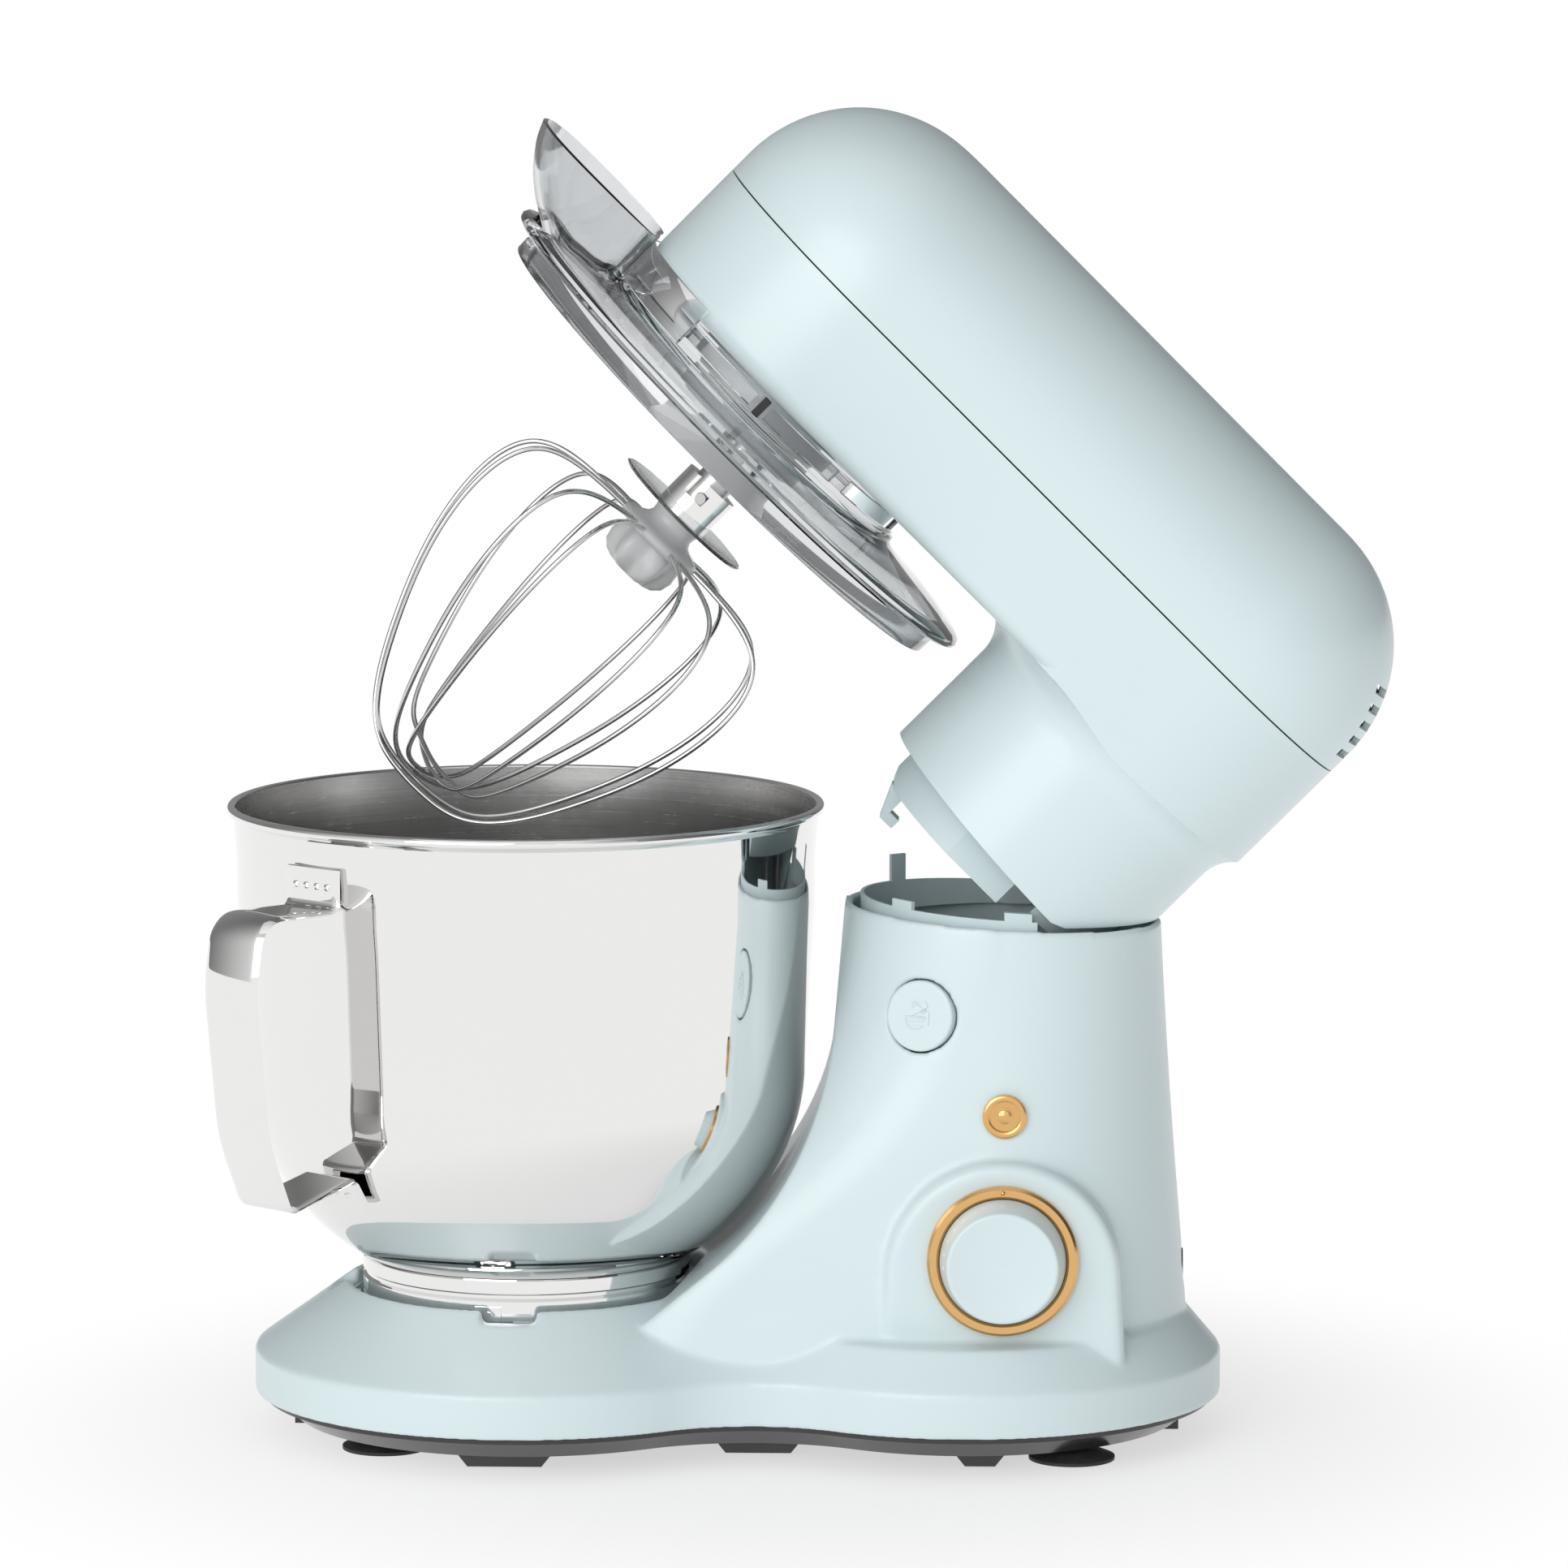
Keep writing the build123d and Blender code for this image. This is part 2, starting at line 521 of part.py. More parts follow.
# ---------------------------------------------------------------- bowl
def bowl():
    """Spun bowl: straight wall, round shoulder and flat floor, with a rolled rim."""
    def profile(inset, top):
        radius = BOWL_CURVE_R - inset
        floor = BOWL_CURVE_Z - radius
        wall = BOWL_CURVE_X + radius
        bend = (BOWL_CURVE_X + radius * cos(pi / 4), BOWL_CURVE_Z - radius * sin(pi / 4))
        outline = Plane.XZ * (
            Line((0, top), (0, floor))
            + Line((0, floor), (BOWL_CURVE_X, floor))
            + ThreePointArc((BOWL_CURVE_X, floor), bend, (wall, BOWL_CURVE_Z))
            + Polyline((wall, BOWL_CURVE_Z), (BOWL_R - inset, 200), (BOWL_R - inset, 214), (BOWL_R + 1.6 - inset, top), (0, top))
        )
        return revolve(make_face(outline), Axis.Z)

    top = BOWL_RIM_Z - BOWL_BEAD_R
    shell = profile(0, top) - profile(BOWL_WALL, top)
    bead = Pos(0, 0, top) * Torus(BOWL_R + 1.9, BOWL_BEAD_R)
    return shell + bead


def bowl_surface(z):
    """Outer radius of the bowl at a height."""
    if z >= BOWL_CURVE_Z:
        return BOWL_CURVE_X + BOWL_CURVE_R + (BOWL_R - BOWL_CURVE_X - BOWL_CURVE_R) * min(1, (z - BOWL_CURVE_Z) / 61)
    return BOWL_CURVE_X + sqrt(BOWL_CURVE_R**2 - (BOWL_CURVE_Z - z) ** 2)


def under_bowl(radius):
    """Height of the bowl's underside at a radius, less the gap of a welded seat."""
    return BOWL_CURVE_Z - sqrt((BOWL_CURVE_R + WELD_GAP) ** 2 - (radius - BOWL_CURVE_X) ** 2)


def bowl_foot():
    """Foot ring with a double lip, under the bowl."""
    lip = under_bowl(FOOT_R)
    outer = ((FOOT_R, FOOT_BOTTOM), (FOOT_R, 58), (FOOT_R - 1.2, 59), (FOOT_R - 1.2, 60.2), (FOOT_R, 61), (FOOT_R, lip - 1), (FOOT_R - 1, under_bowl(FOOT_R - 1)))
    inner = ((FOOT_R - 3.5, under_bowl(FOOT_R - 3.5)), (FOOT_R - FOOT_WALL - 1.4, 60), (FOOT_R - FOOT_WALL - 1.4, 58), (FOOT_R - FOOT_WALL, 57), (FOOT_R - FOOT_WALL, FOOT_BOTTOM))
    body = lathe(outer + inner)
    web = ring(FOOT_R - FOOT_WALL, 30, 48, 49.5)
    return body + web


def bowl_lugs():
    low = FOOT_BOTTOM
    lug = block(FOOT_R - 2, FOOT_R + LUG_REACH, -LUG_WIDTH / 2, LUG_WIDTH / 2, low, low + 2.4)
    lug += block(FOOT_R - 2, FOOT_R + 0.6, -5, 5, low + 1, 56)
    lug += Pos(FOOT_R - 0.4, 0, 52.5) * Rot(0, 90, 0) * Cylinder(1.8, 3)
    return around(lug - cyl(FOOT_R, 0, 100), LUG_COUNT, BOWL_LUG_ANGLE)


def seat_pad():
    return ring(FOOT_R - 0.6, FOOT_R - 12, RECESS_FLOOR + 2.1, FOOT_BOTTOM - 0.1)


def bowl_handle():
    """Folded strip: two short arms and an upright grip."""
    mid = HANDLE_SHEET / 2
    off = mid + GAP
    fold, foot = HANDLE_BOTTOM + 9, HANDLE_BOTTOM - 3
    top_r = bowl_surface(HANDLE_TOP) + off
    outer = HANDLE_REACH - mid
    points = (
        (top_r, HANDLE_TOP + HANDLE_FLANGE), (top_r, HANDLE_TOP - mid), (outer - 4, HANDLE_TOP - mid),
        (outer, HANDLE_TOP - 26), (outer - 6, HANDLE_BOTTOM + 28), (outer - 17, HANDLE_BOTTOM + mid),
        (bowl_surface(fold) + off + 2.4, fold), (bowl_surface(foot) + off + 1.2, foot),
    )
    body = strip(points, (3.5, 11, 60, 60, 5, 2.5), HANDLE_SHEET, HANDLE_WIDTH)
    return Rot(0, 0, HANDLE_ANGLE) * body


# ---------------------------------------------------------------- head, modelled level
def head_prism(inset, low, high):
    outline = stadium(low, HEAD_REAR_X, HEAD_REAR_R - inset, HEAD_FRONT_X, HEAD_FRONT_R - inset)
    return extrude(outline, high - low)


def upper_housing():
    low = HEAD_SEAM + SEAM_GAP / 2

    def dome(inset):
        body = head_prism(inset, low if inset == 0 else low - 5, HEAD_TOP - inset)
        return fillet(body.faces().sort_by(Axis.Z)[-1].edges(), HEAD_DOME_R - inset)

    shell = dome(0) - dome(HEAD_WALL)
    for k in range(5):
        z = 311.5 + 6.5 * k
        for side in (-1, 1):
            shell -= block(200, 260, side * 2.5 if side > 0 else -26, side * 2.5 if side < 0 else 26, z - 1.5, z + 1.5)
    return shell


def lower_form(inset):
    floor = HEAD_FLOOR + inset
    top = HEAD_SEAM - SEAM_GAP / 2 + (5 if inset else 0)
    body = head_prism(inset, floor, top)
    body = fillet(body.faces().sort_by(Axis.Z)[0].edges(), 7 - inset)
    neck_r = NECK_R - inset
    body += cyl(neck_r, 150, floor + 10, NECK_X)
    arc_r = THROAT_R + inset
    flare = Plane.XZ * (
        Line((neck_r - 2, floor - arc_r), (neck_r, floor - arc_r))
        + ThreePointArc((neck_r, floor - arc_r), (neck_r + arc_r * (1 - cos(pi / 4)), floor - arc_r * (1 - sin(pi / 4))), (neck_r + arc_r, floor))
        + Polyline((neck_r + arc_r, floor), (neck_r + arc_r, floor + 8), (neck_r - 2, floor + 8), (neck_r - 2, floor - arc_r))
    )
    throat = Pos(NECK_X, 0, 0) * revolve(make_face(flare), Axis.Z)
    throat = throat & head_prism(inset, floor - 40, floor + 7.5)
    return body + throat


def neck_cuts():
    """Takes off what would meet the column's rim, with the head level, halfway and raised."""
    return [below_rim(NECK_GAP).rotate(HINGE_AXIS, -HEAD_TILT * share) for share in (0, 0.5, 1)]


def lower_housing():
    shell = lower_form(0) - lower_form(HEAD_WALL)
    for cut in neck_cuts():
        shell -= cut
    shell -= cyl(NOSE_R + GAP, HEAD_FLOOR - 5, HEAD_FLOOR + 5)
    for x, y in FRAME_SCREWS:
        shell -= cyl(2.0, HEAD_FLOOR - 1, HEAD_FLOOR + 5, x, y)
    return shell


def neck_sleeve():
    """Half sleeve behind the hinge that closes the gap under the neck when the head is level."""
    sleeve = ring(52.5, 50.5, 190.5, 232, COLUMN_X) & block(198, 240, -60, 60, 180, 240)
    flange = (cyl(NECK_R - HEAD_WALL - 0.1, 229.5, 232, NECK_X) - cyl(50.5, 220, 240, COLUMN_X)) & block(198, 240, -60, 60, 180, 240)
    return sleeve + flange


def neck_plug():
    """Box that fills the front of the column's mouth."""
    outer = side_profile(((130, 241), (130, 191), (133, 185), (187, 185), (187, 241)), 45) & cyl(48, 180, 245, COLUMN_X)
    inner = block(132.5, 184.5, -42.5, 42.5, 187.5, 250) & cyl(45.5, 180, 255, COLUMN_X)
    return outer - inner


def latch_hook():
    """Hook that drops in front of the latch bolt when the head comes down."""
    points = ((132.5, 185), (139.4, 185), (139.4, 177), (144, 177), (144, 173), (138, 173))
    return side_profile(points, 6)


def head_frame():
    """Cast frame: gear nose, front deck, rear deck under the motor, and the hinge arms."""
    deck = HEAD_FLOOR + HEAD_WALL + 0.5
    nose = ring(NOSE_R, 30.05, 244, deck) + ring(NOSE_R, 11.05, 256, deck + 4)
    front = block(-45, 131.5, -42, 42, deck, deck + 4) - cyl(11.05, 200, 300) - cyl(6.05, 200, 300, LAYSHAFT_X)
    rear = (block(124, 222, -40, 40, 242, 246) & cyl(NECK_R - HEAD_WALL - 0.6, 200, 300, NECK_X))
    step = block(127.5, 131.5, -14, 14, 242, deck + 4)
    frame = nose + front + rear + step
    low, high = ARM_SPAN
    for side in (-1, 1):
        y0, y1 = sorted((side * low, side * high))
        frame += block(193, 214.2, y0, y1, HINGE_Z, 243)
        frame += pivot_cyl(10.6, y0, y1)
    frame -= pivot_cyl(7.5, -40, 40)
    frame -= cyl(8, 230, 250, MOTOR_X)
    for x, y in FRAME_SCREWS:
        frame -= cyl(2.0, deck - 1, deck + 6, x, y)
    return frame


def hinge_bushes():
    low, high = ARM_SPAN
    bushes = []
    for side in (-1, 1):
        y0, y1 = sorted((side * low, side * high))
        bushes.append(pivot_cyl(7.5, y0, y1) - pivot_cyl(HINGE_PIN_R + SHAFT_FIT, y0 - 1, y1 + 1))
    return bushes


def frame_screws():
    deck = HEAD_FLOOR + HEAD_WALL + 4.5
    screw = lathe(((0, HEAD_FLOOR + 0.4), (1.9, HEAD_FLOOR + 0.4), (1.9, deck), (3.8, deck), (3.8, deck + 1.4), (2.8, deck + 2.2), (0, deck + 2.2)))
    return [Pos(x, y, 0) * screw for x, y in FRAME_SCREWS]


def shaft_bearings():
    deck = HEAD_FLOOR + HEAD_WALL + 0.5
    return [
        ring(11, 5 + SHAFT_FIT, 256, deck + 4),
        ring(6, MOTOR_SHAFT_R + SHAFT_FIT, deck, deck + 4, LAYSHAFT_X),
        ring(8, MOTOR_SHAFT_R + SHAFT_FIT, 242, 246, MOTOR_X),
    ]


def motor_stator():
    body = cyl(STATOR_R, MOTOR_Z, MOTOR_Z + 46, MOTOR_X)
    body &= block(MOTOR_X - 34, MOTOR_X + 34, -STATOR_R, STATOR_R, MOTOR_Z, MOTOR_Z + 46)
    return body - cyl(ROTOR_R + 0.8, 200, 340, MOTOR_X)


def field_coils():
    top = MOTOR_Z + 46
    ends = [ring(STATOR_R - 5, ROTOR_R + 2, low, low + 6, MOTOR_X) for low in (MOTOR_Z - 6, top)]
    return [end & block(100, 300, *side, 200, 340) for end in ends for side in ((7.4, 60), (-60, -7.4))]


def motor_cage():
    """End bracket that carries the upper bearing and the brushes."""
    top = MOTOR_Z + 46
    cage = cyl(9, top + 8, top + 14, MOTOR_X) + block(MOTOR_X - 37, MOTOR_X + 37, -7, 7, top + 10, top + 13)
    for side in (-1, 1):
        x0, x1 = sorted((MOTOR_X + side * 34.2, MOTOR_X + side * 37))
        cage += block(x0, x1, -7, 7, 246, top + 12)
    return cage - cyl(MOTOR_SHAFT_R + SHAFT_FIT, 200, 340, MOTOR_X)


def carbon_brushes():
    return [block(MOTOR_X + 10.3, MOTOR_X + 24, -3, 3, 250, 255), block(MOTOR_X - 24, MOTOR_X - 10.3, -3, 3, 250, 255)]


def motor_shaft():
    return cyl(MOTOR_SHAFT_R, 242.5, BELT_Z + 6, MOTOR_X)


def motor_rotor():
    core = ring(ROTOR_R, MOTOR_SHAFT_R, MOTOR_Z + 2, MOTOR_Z + 44, MOTOR_X)
    slot = block(ROTOR_R - 5, ROTOR_R + 1, -0.9, 0.9, 200, 340)
    for cut in around(slot, 12):
        core -= Pos(MOTOR_X, 0, 0) * cut
    return core


def commutator():
    return ring(10, MOTOR_SHAFT_R, 248, 258, MOTOR_X)


def cooling_fan():
    fan = ring(8, MOTOR_SHAFT_R, 323.5, 331, MOTOR_X) + ring(32, 8, 323.5, 325, MOTOR_X)
    for blade in around(block(9, 32, -0.8, 0.8, 325, 331), 9):
        fan += Pos(MOTOR_X, 0, 0) * blade
    return fan


def pulley(radius, bore, x):
    half = BELT_WIDTH / 2 + GAP
    body = ring(radius, bore, BELT_Z - half, BELT_Z + half, x)
    for low in (BELT_Z - half - 1.5, BELT_Z + half):
        body += ring(radius + 3.2, bore, low, low + 1.5, x)
    return body


def drive_belt():
    half = BELT_WIDTH / 2
    room = GAP

    def loop(grow):
        outline = stadium(BELT_Z - half, MOTOR_X, PULLEY_SMALL_R + room + grow, LAYSHAFT_X, PULLEY_LARGE_R + room + grow)
        return extrude(outline, BELT_WIDTH)

    return loop(BELT_THICK) - loop(0)


def layshaft():
    deck = HEAD_FLOOR + HEAD_WALL + 0.5
    return cyl(MOTOR_SHAFT_R, deck, BELT_Z + 6, LAYSHAFT_X)


def layshaft_pinion():
    body = gear(PINION_TEETH, DRIVE_MODULE, 12, turn=180 / PINION_TEETH) - cyl(MOTOR_SHAFT_R, -1, 20)
    return Pos(LAYSHAFT_X, 0, GEAR_LOW - 1) * body


def drive_gear():
    body = gear(DRIVE_TEETH, DRIVE_MODULE, 10) - cyl(5, -1, 20)
    body -= ring(25, 10, 7, 11)
    return Pos(0, 0, GEAR_LOW) * body


def planet_spot():
    turn = radians(PLANET_ANGLE)
    return PLANET_OFFSET * cos(turn), PLANET_OFFSET * sin(turn)


def ring_gear():
    body = cyl(30, 246, 254)
    teeth = gear(RING_TEETH, PLANET_MODULE, 12, addendum=1.25, dedendum=1.0, slack=-0.14, turn=PLANET_ANGLE)
    return body - Pos(0, 0, 244) * teeth


def planet_carrier():
    x, y = planet_spot()
    body = lathe(((0, 227), (8, 227), (24.3, 222), (26, 222), (26, 229), (29, 232), (29, 243), (0, 243)))
    body -= cyl(PLANET_SHAFT_R + SHAFT_FIT, 200, 250, x, y)
    return body + cyl(5, 242, GEAR_LOW + 14)


def planet_gear():
    x, y = planet_spot()
    body = gear(PLANET_TEETH, PLANET_MODULE, 6, turn=PLANET_ANGLE) - cyl(3.5, -1, 20)
    return Pos(x, y, 247) * body


def planet_shaft():
    x, y = planet_spot()
    shaft = cyl(PLANET_SHAFT_R, 206, 243.4, x, y) + cyl(3.5, 243.4, 254, x, y)
    return shaft - bayonet_pin()


def bayonet_pin():
    x, y = planet_spot()
    return Pos(x, y, 211.5) * Rot(90, 0, 0) * Cylinder(2, 27)


def splash_shield():
    low, deck = SHIELD_BOTTOM, SHIELD_DECK
    skirt, flange, collar, wall = SHIELD_SKIRT_R, SHIELD_FLANGE_R, SHIELD_COLLAR_R, SHIELD_WALL
    body = lathe((
        (skirt - wall, low), (skirt, low), (skirt, deck), (flange - 1, deck), (flange, deck + 1.4), (flange - 2, deck + 3.6),
        (collar + 6, deck + 8), (collar, deck + 10), (collar, SHIELD_TOP), (collar - wall, SHIELD_TOP), (collar - wall, deck + 8.5),
        (collar + 5, deck + 6), (skirt - wall, deck + 2),
    ))
    body -= extrude(chute_section(deck, -CHUTE_DECK_X, -CHUTE_INNER_X, CHUTE_DECK_HALF, GAP), 30)
    return body


def chute_section(z, x0, x1, half, grow=0.0):
    """Rounded rectangle of the chute at a height, from x0 to x1 and half the width each side."""
    return Pos((x0 + x1) / 2, 0, z) * RectangleRounded(x1 - x0 + 2 * grow, 2 * (half + grow), 8)


def chute_form(grow):
    low = chute_section(SHIELD_DECK - 2, -CHUTE_FOOT_X, -CHUTE_INNER_X, CHUTE_FOOT_HALF, grow)
    middle = chute_section(SHIELD_DECK + 9, -112, -CHUTE_INNER_X, 28, grow)
    high = chute_section(CHUTE_TOP, -CHUTE_LIP_X, -CHUTE_INNER_X, CHUTE_LIP_HALF, grow)
    lower = Solid.make_loft([low.face().outer_wire(), middle.face().outer_wire()], ruled=True)
    return lower + Solid.make_loft([middle.face().outer_wire(), high.face().outer_wire()], ruled=True)


def pour_chute():
    wall = SHIELD_WALL
    body = chute_form(0)
    room = chute_form(-wall)
    room += extrude(chute_section(SHIELD_DECK - 2, -CHUTE_FOOT_X, -CHUTE_INNER_X, CHUTE_FOOT_HALF, -wall), -3)
    room += extrude(chute_section(CHUTE_TOP, -CHUTE_LIP_X, -CHUTE_INNER_X, CHUTE_LIP_HALF, -wall), 3)
    return body - room


# ---------------------------------------------------------------- whisk, about the planet shaft
def at_planet(shape):
    x, y = planet_spot()
    return Pos(x, y, 0) * shape


def whisk_socket():
    """Steel socket with a bayonet slot for the cross pin."""
    body = ring(11, PLANET_SHAFT_R + SHAFT_FIT, 200, 217)
    wide = 2 * (2 + GAP)
    for turn in (90, 270):
        for k in range(6):
            body -= Rot(0, 0, turn - WHISK_TWIST * k / 5) * block(5, 14, -wide / 2, wide / 2, 211.5 - wide / 2, 211.5 + wide / 2)
        body -= Rot(0, 0, turn - WHISK_TWIST) * block(5, 14, -wide / 2, wide / 2, 211.5, 220)
    return at_planet(body)


def whisk_guard():
    return at_planet(lathe(((11.1, 199.6), (28.0, 201.4), (28.7, 202.1), (28.0, 202.6), (11.1, 201.4))))


def whisk_hub():
    """Moulded hub: a waisted neck, a flange where the wires enter, and a lobed plug."""
    body = lathe(((0, 199.5), (10.5, 199.5), (9.5, 196), (12.5, 192), (17.6, 190.6), (18, 188.6), (16.5, 187), (14, 186.6), (0, 186.6)))
    for k in range(WHISK_LOOPS):
        body += Rot(0, 0, 60 * k + 30) * (Pos(8.2, 0, 181) * Cylinder(5.6, 14))
    body += cyl(9, 172, 187)
    return at_planet(body)


def whisk_loop(k):
    """One closed wire loop, in a plane through the whisk's axis."""
    wide = 63.0 - 1.2 * (k % 2)
    tip = WHISK_TIP_Z + WHISK_LOOP_STEP * k
    half = ((12.0, 188.3), (33.0, 200.5), (wide + 1, 187.0), (wide, 150.0), (43.0, 82.0), (24.0, tip))
    points = half + tuple((-x, z) for x, z in reversed(half))
    bends = (30, 24, 110, 40, 32)
    radii = bends + bends[::-1]
    path = Wire((Plane.XZ * FilletPolyline(*points, radius=radii)).edges())
    section = Plane(origin=path @ 0, z_dir=path % 0) * Circle(WHISK_WIRE_R)
    turn = 60 * (k // 2) + (7 if k % 2 else -7)
    return at_planet(Rot(0, 0, turn) * sweep(section, path))


# ---------------------------------------------------------------- write the sub-parts
def write(name, shape, head=False):
    """One STEP per sub-part; a group of separate solids becomes one compound."""
    solids = []
    for item in shape if isinstance(shape, (list, tuple)) else [shape]:
        solids += list(item.solids())
    if head:
        solids = [raise_head(solid) for solid in solids]
    export_step(solids[0] if len(solids) == 1 else Compound(solids), f"parts/{name}.step")


STAND_PIECES = {
    "stand_shell": stand_shell, "bottom_plate": bottom_plate, "edge_feet": edge_feet, "suction_feet": suction_feet,
    "bottom_screws": bottom_screws, "bowl_seat": bowl_seat, "seat_screws": seat_screws,
    "column_collar": column_collar, "hinge_bracket": hinge_bracket, "hinge_pin": hinge_pin,
    "dial_ring": dial_ring, "speed_switch": speed_switch, "speed_knob": speed_knob, "knob_shaft": knob_shaft,
    "control_board": control_board, "badge": badge, "cord_inlet": cord_inlet, "tilt_button": tilt_button,
    "button_spring": button_spring, "latch_bolt": latch_bolt,
    "bowl": bowl, "bowl_foot": bowl_foot, "bowl_lugs": bowl_lugs, "seat_pad": seat_pad,
    "bowl_handle": bowl_handle,
}
HEAD_PIECES = {
    "upper_housing": upper_housing, "lower_housing": lower_housing,
    "neck_sleeve": neck_sleeve, "neck_plug": neck_plug, "latch_hook": latch_hook, "head_frame": head_frame,
    "hinge_bushes": hinge_bushes, "frame_screws": frame_screws, "shaft_bearings": shaft_bearings,
    "motor_stator": motor_stator, "field_coils": field_coils, "motor_cage": motor_cage,
    "carbon_brushes": carbon_brushes, "motor_shaft": motor_shaft, "motor_rotor": motor_rotor,
    "commutator": commutator, "cooling_fan": cooling_fan,
    "motor_pulley": lambda: pulley(PULLEY_SMALL_R, MOTOR_SHAFT_R, MOTOR_X),
    "large_pulley": lambda: pulley(PULLEY_LARGE_R, MOTOR_SHAFT_R, LAYSHAFT_X),
    "drive_belt": drive_belt, "layshaft": layshaft, "layshaft_pinion": layshaft_pinion,
    "drive_gear": drive_gear, "ring_gear": ring_gear,
    "planet_carrier": planet_carrier, "planet_gear": planet_gear, "planet_shaft": planet_shaft,
    "bayonet_pin": bayonet_pin, "splash_shield": splash_shield, "pour_chute": pour_chute,
    "whisk_socket": whisk_socket, "whisk_guard": whisk_guard, "whisk_hub": whisk_hub,
    "whisk_wires": lambda: [whisk_loop(k) for k in range(WHISK_LOOPS)],
}


def main():
    os.makedirs("parts", exist_ok=True)
    for name, make in STAND_PIECES.items():
        write(name, make())
    for name, make in HEAD_PIECES.items():
        write(name, make(), head=True)


main()
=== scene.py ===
"""Tilt-head stand mixer: finishes, moulded and bent detail, studio and camera, in metres."""
import logging
import math
from dataclasses import dataclass, field
from enum import Enum

import bmesh
import bpy
from mathutils import Matrix, Vector


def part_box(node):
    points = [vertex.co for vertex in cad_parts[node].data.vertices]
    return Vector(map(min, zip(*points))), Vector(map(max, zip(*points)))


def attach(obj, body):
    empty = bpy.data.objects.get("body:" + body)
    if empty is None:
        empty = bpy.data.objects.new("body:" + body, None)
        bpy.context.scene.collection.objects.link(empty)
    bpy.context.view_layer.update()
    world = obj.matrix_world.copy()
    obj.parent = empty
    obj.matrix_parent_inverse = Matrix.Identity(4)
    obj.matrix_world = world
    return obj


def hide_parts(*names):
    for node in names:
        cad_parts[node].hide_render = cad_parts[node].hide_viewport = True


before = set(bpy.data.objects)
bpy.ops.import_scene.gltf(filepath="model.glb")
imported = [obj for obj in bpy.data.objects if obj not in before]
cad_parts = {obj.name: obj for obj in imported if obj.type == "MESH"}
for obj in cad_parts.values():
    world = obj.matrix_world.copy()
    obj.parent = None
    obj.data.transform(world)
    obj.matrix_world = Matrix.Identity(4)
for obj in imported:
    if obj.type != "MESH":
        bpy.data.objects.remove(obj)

LOG = logging.getLogger("mixer")
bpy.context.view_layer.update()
MM = 0.001
HINGE = Vector((0.2036, 0.0, 0.2097))
HEAD_TILT = math.radians(45.0)
RAISED = Matrix.Translation(HINGE) @ Matrix.Rotation(HEAD_TILT, 4, "Y") @ Matrix.Translation(-HINGE)
PLANET = Vector((0.016 * math.cos(math.radians(-63.3)), 0.016 * math.sin(math.radians(-63.3)), 0.0))

Rgb = tuple[float, float, float]
Outline = list[tuple[float, float]]


# ---------------------------------------------------------------- shared effects
class Effect(Enum):
    """Names of the shared shader groups."""

    MOTTLE = "soft_mottle"
    GRAIN = "moulded_grain"
    WEAR = "edge_wear"
    DUST = "settled_dust"
    BRUSHED = "turned_brushing"


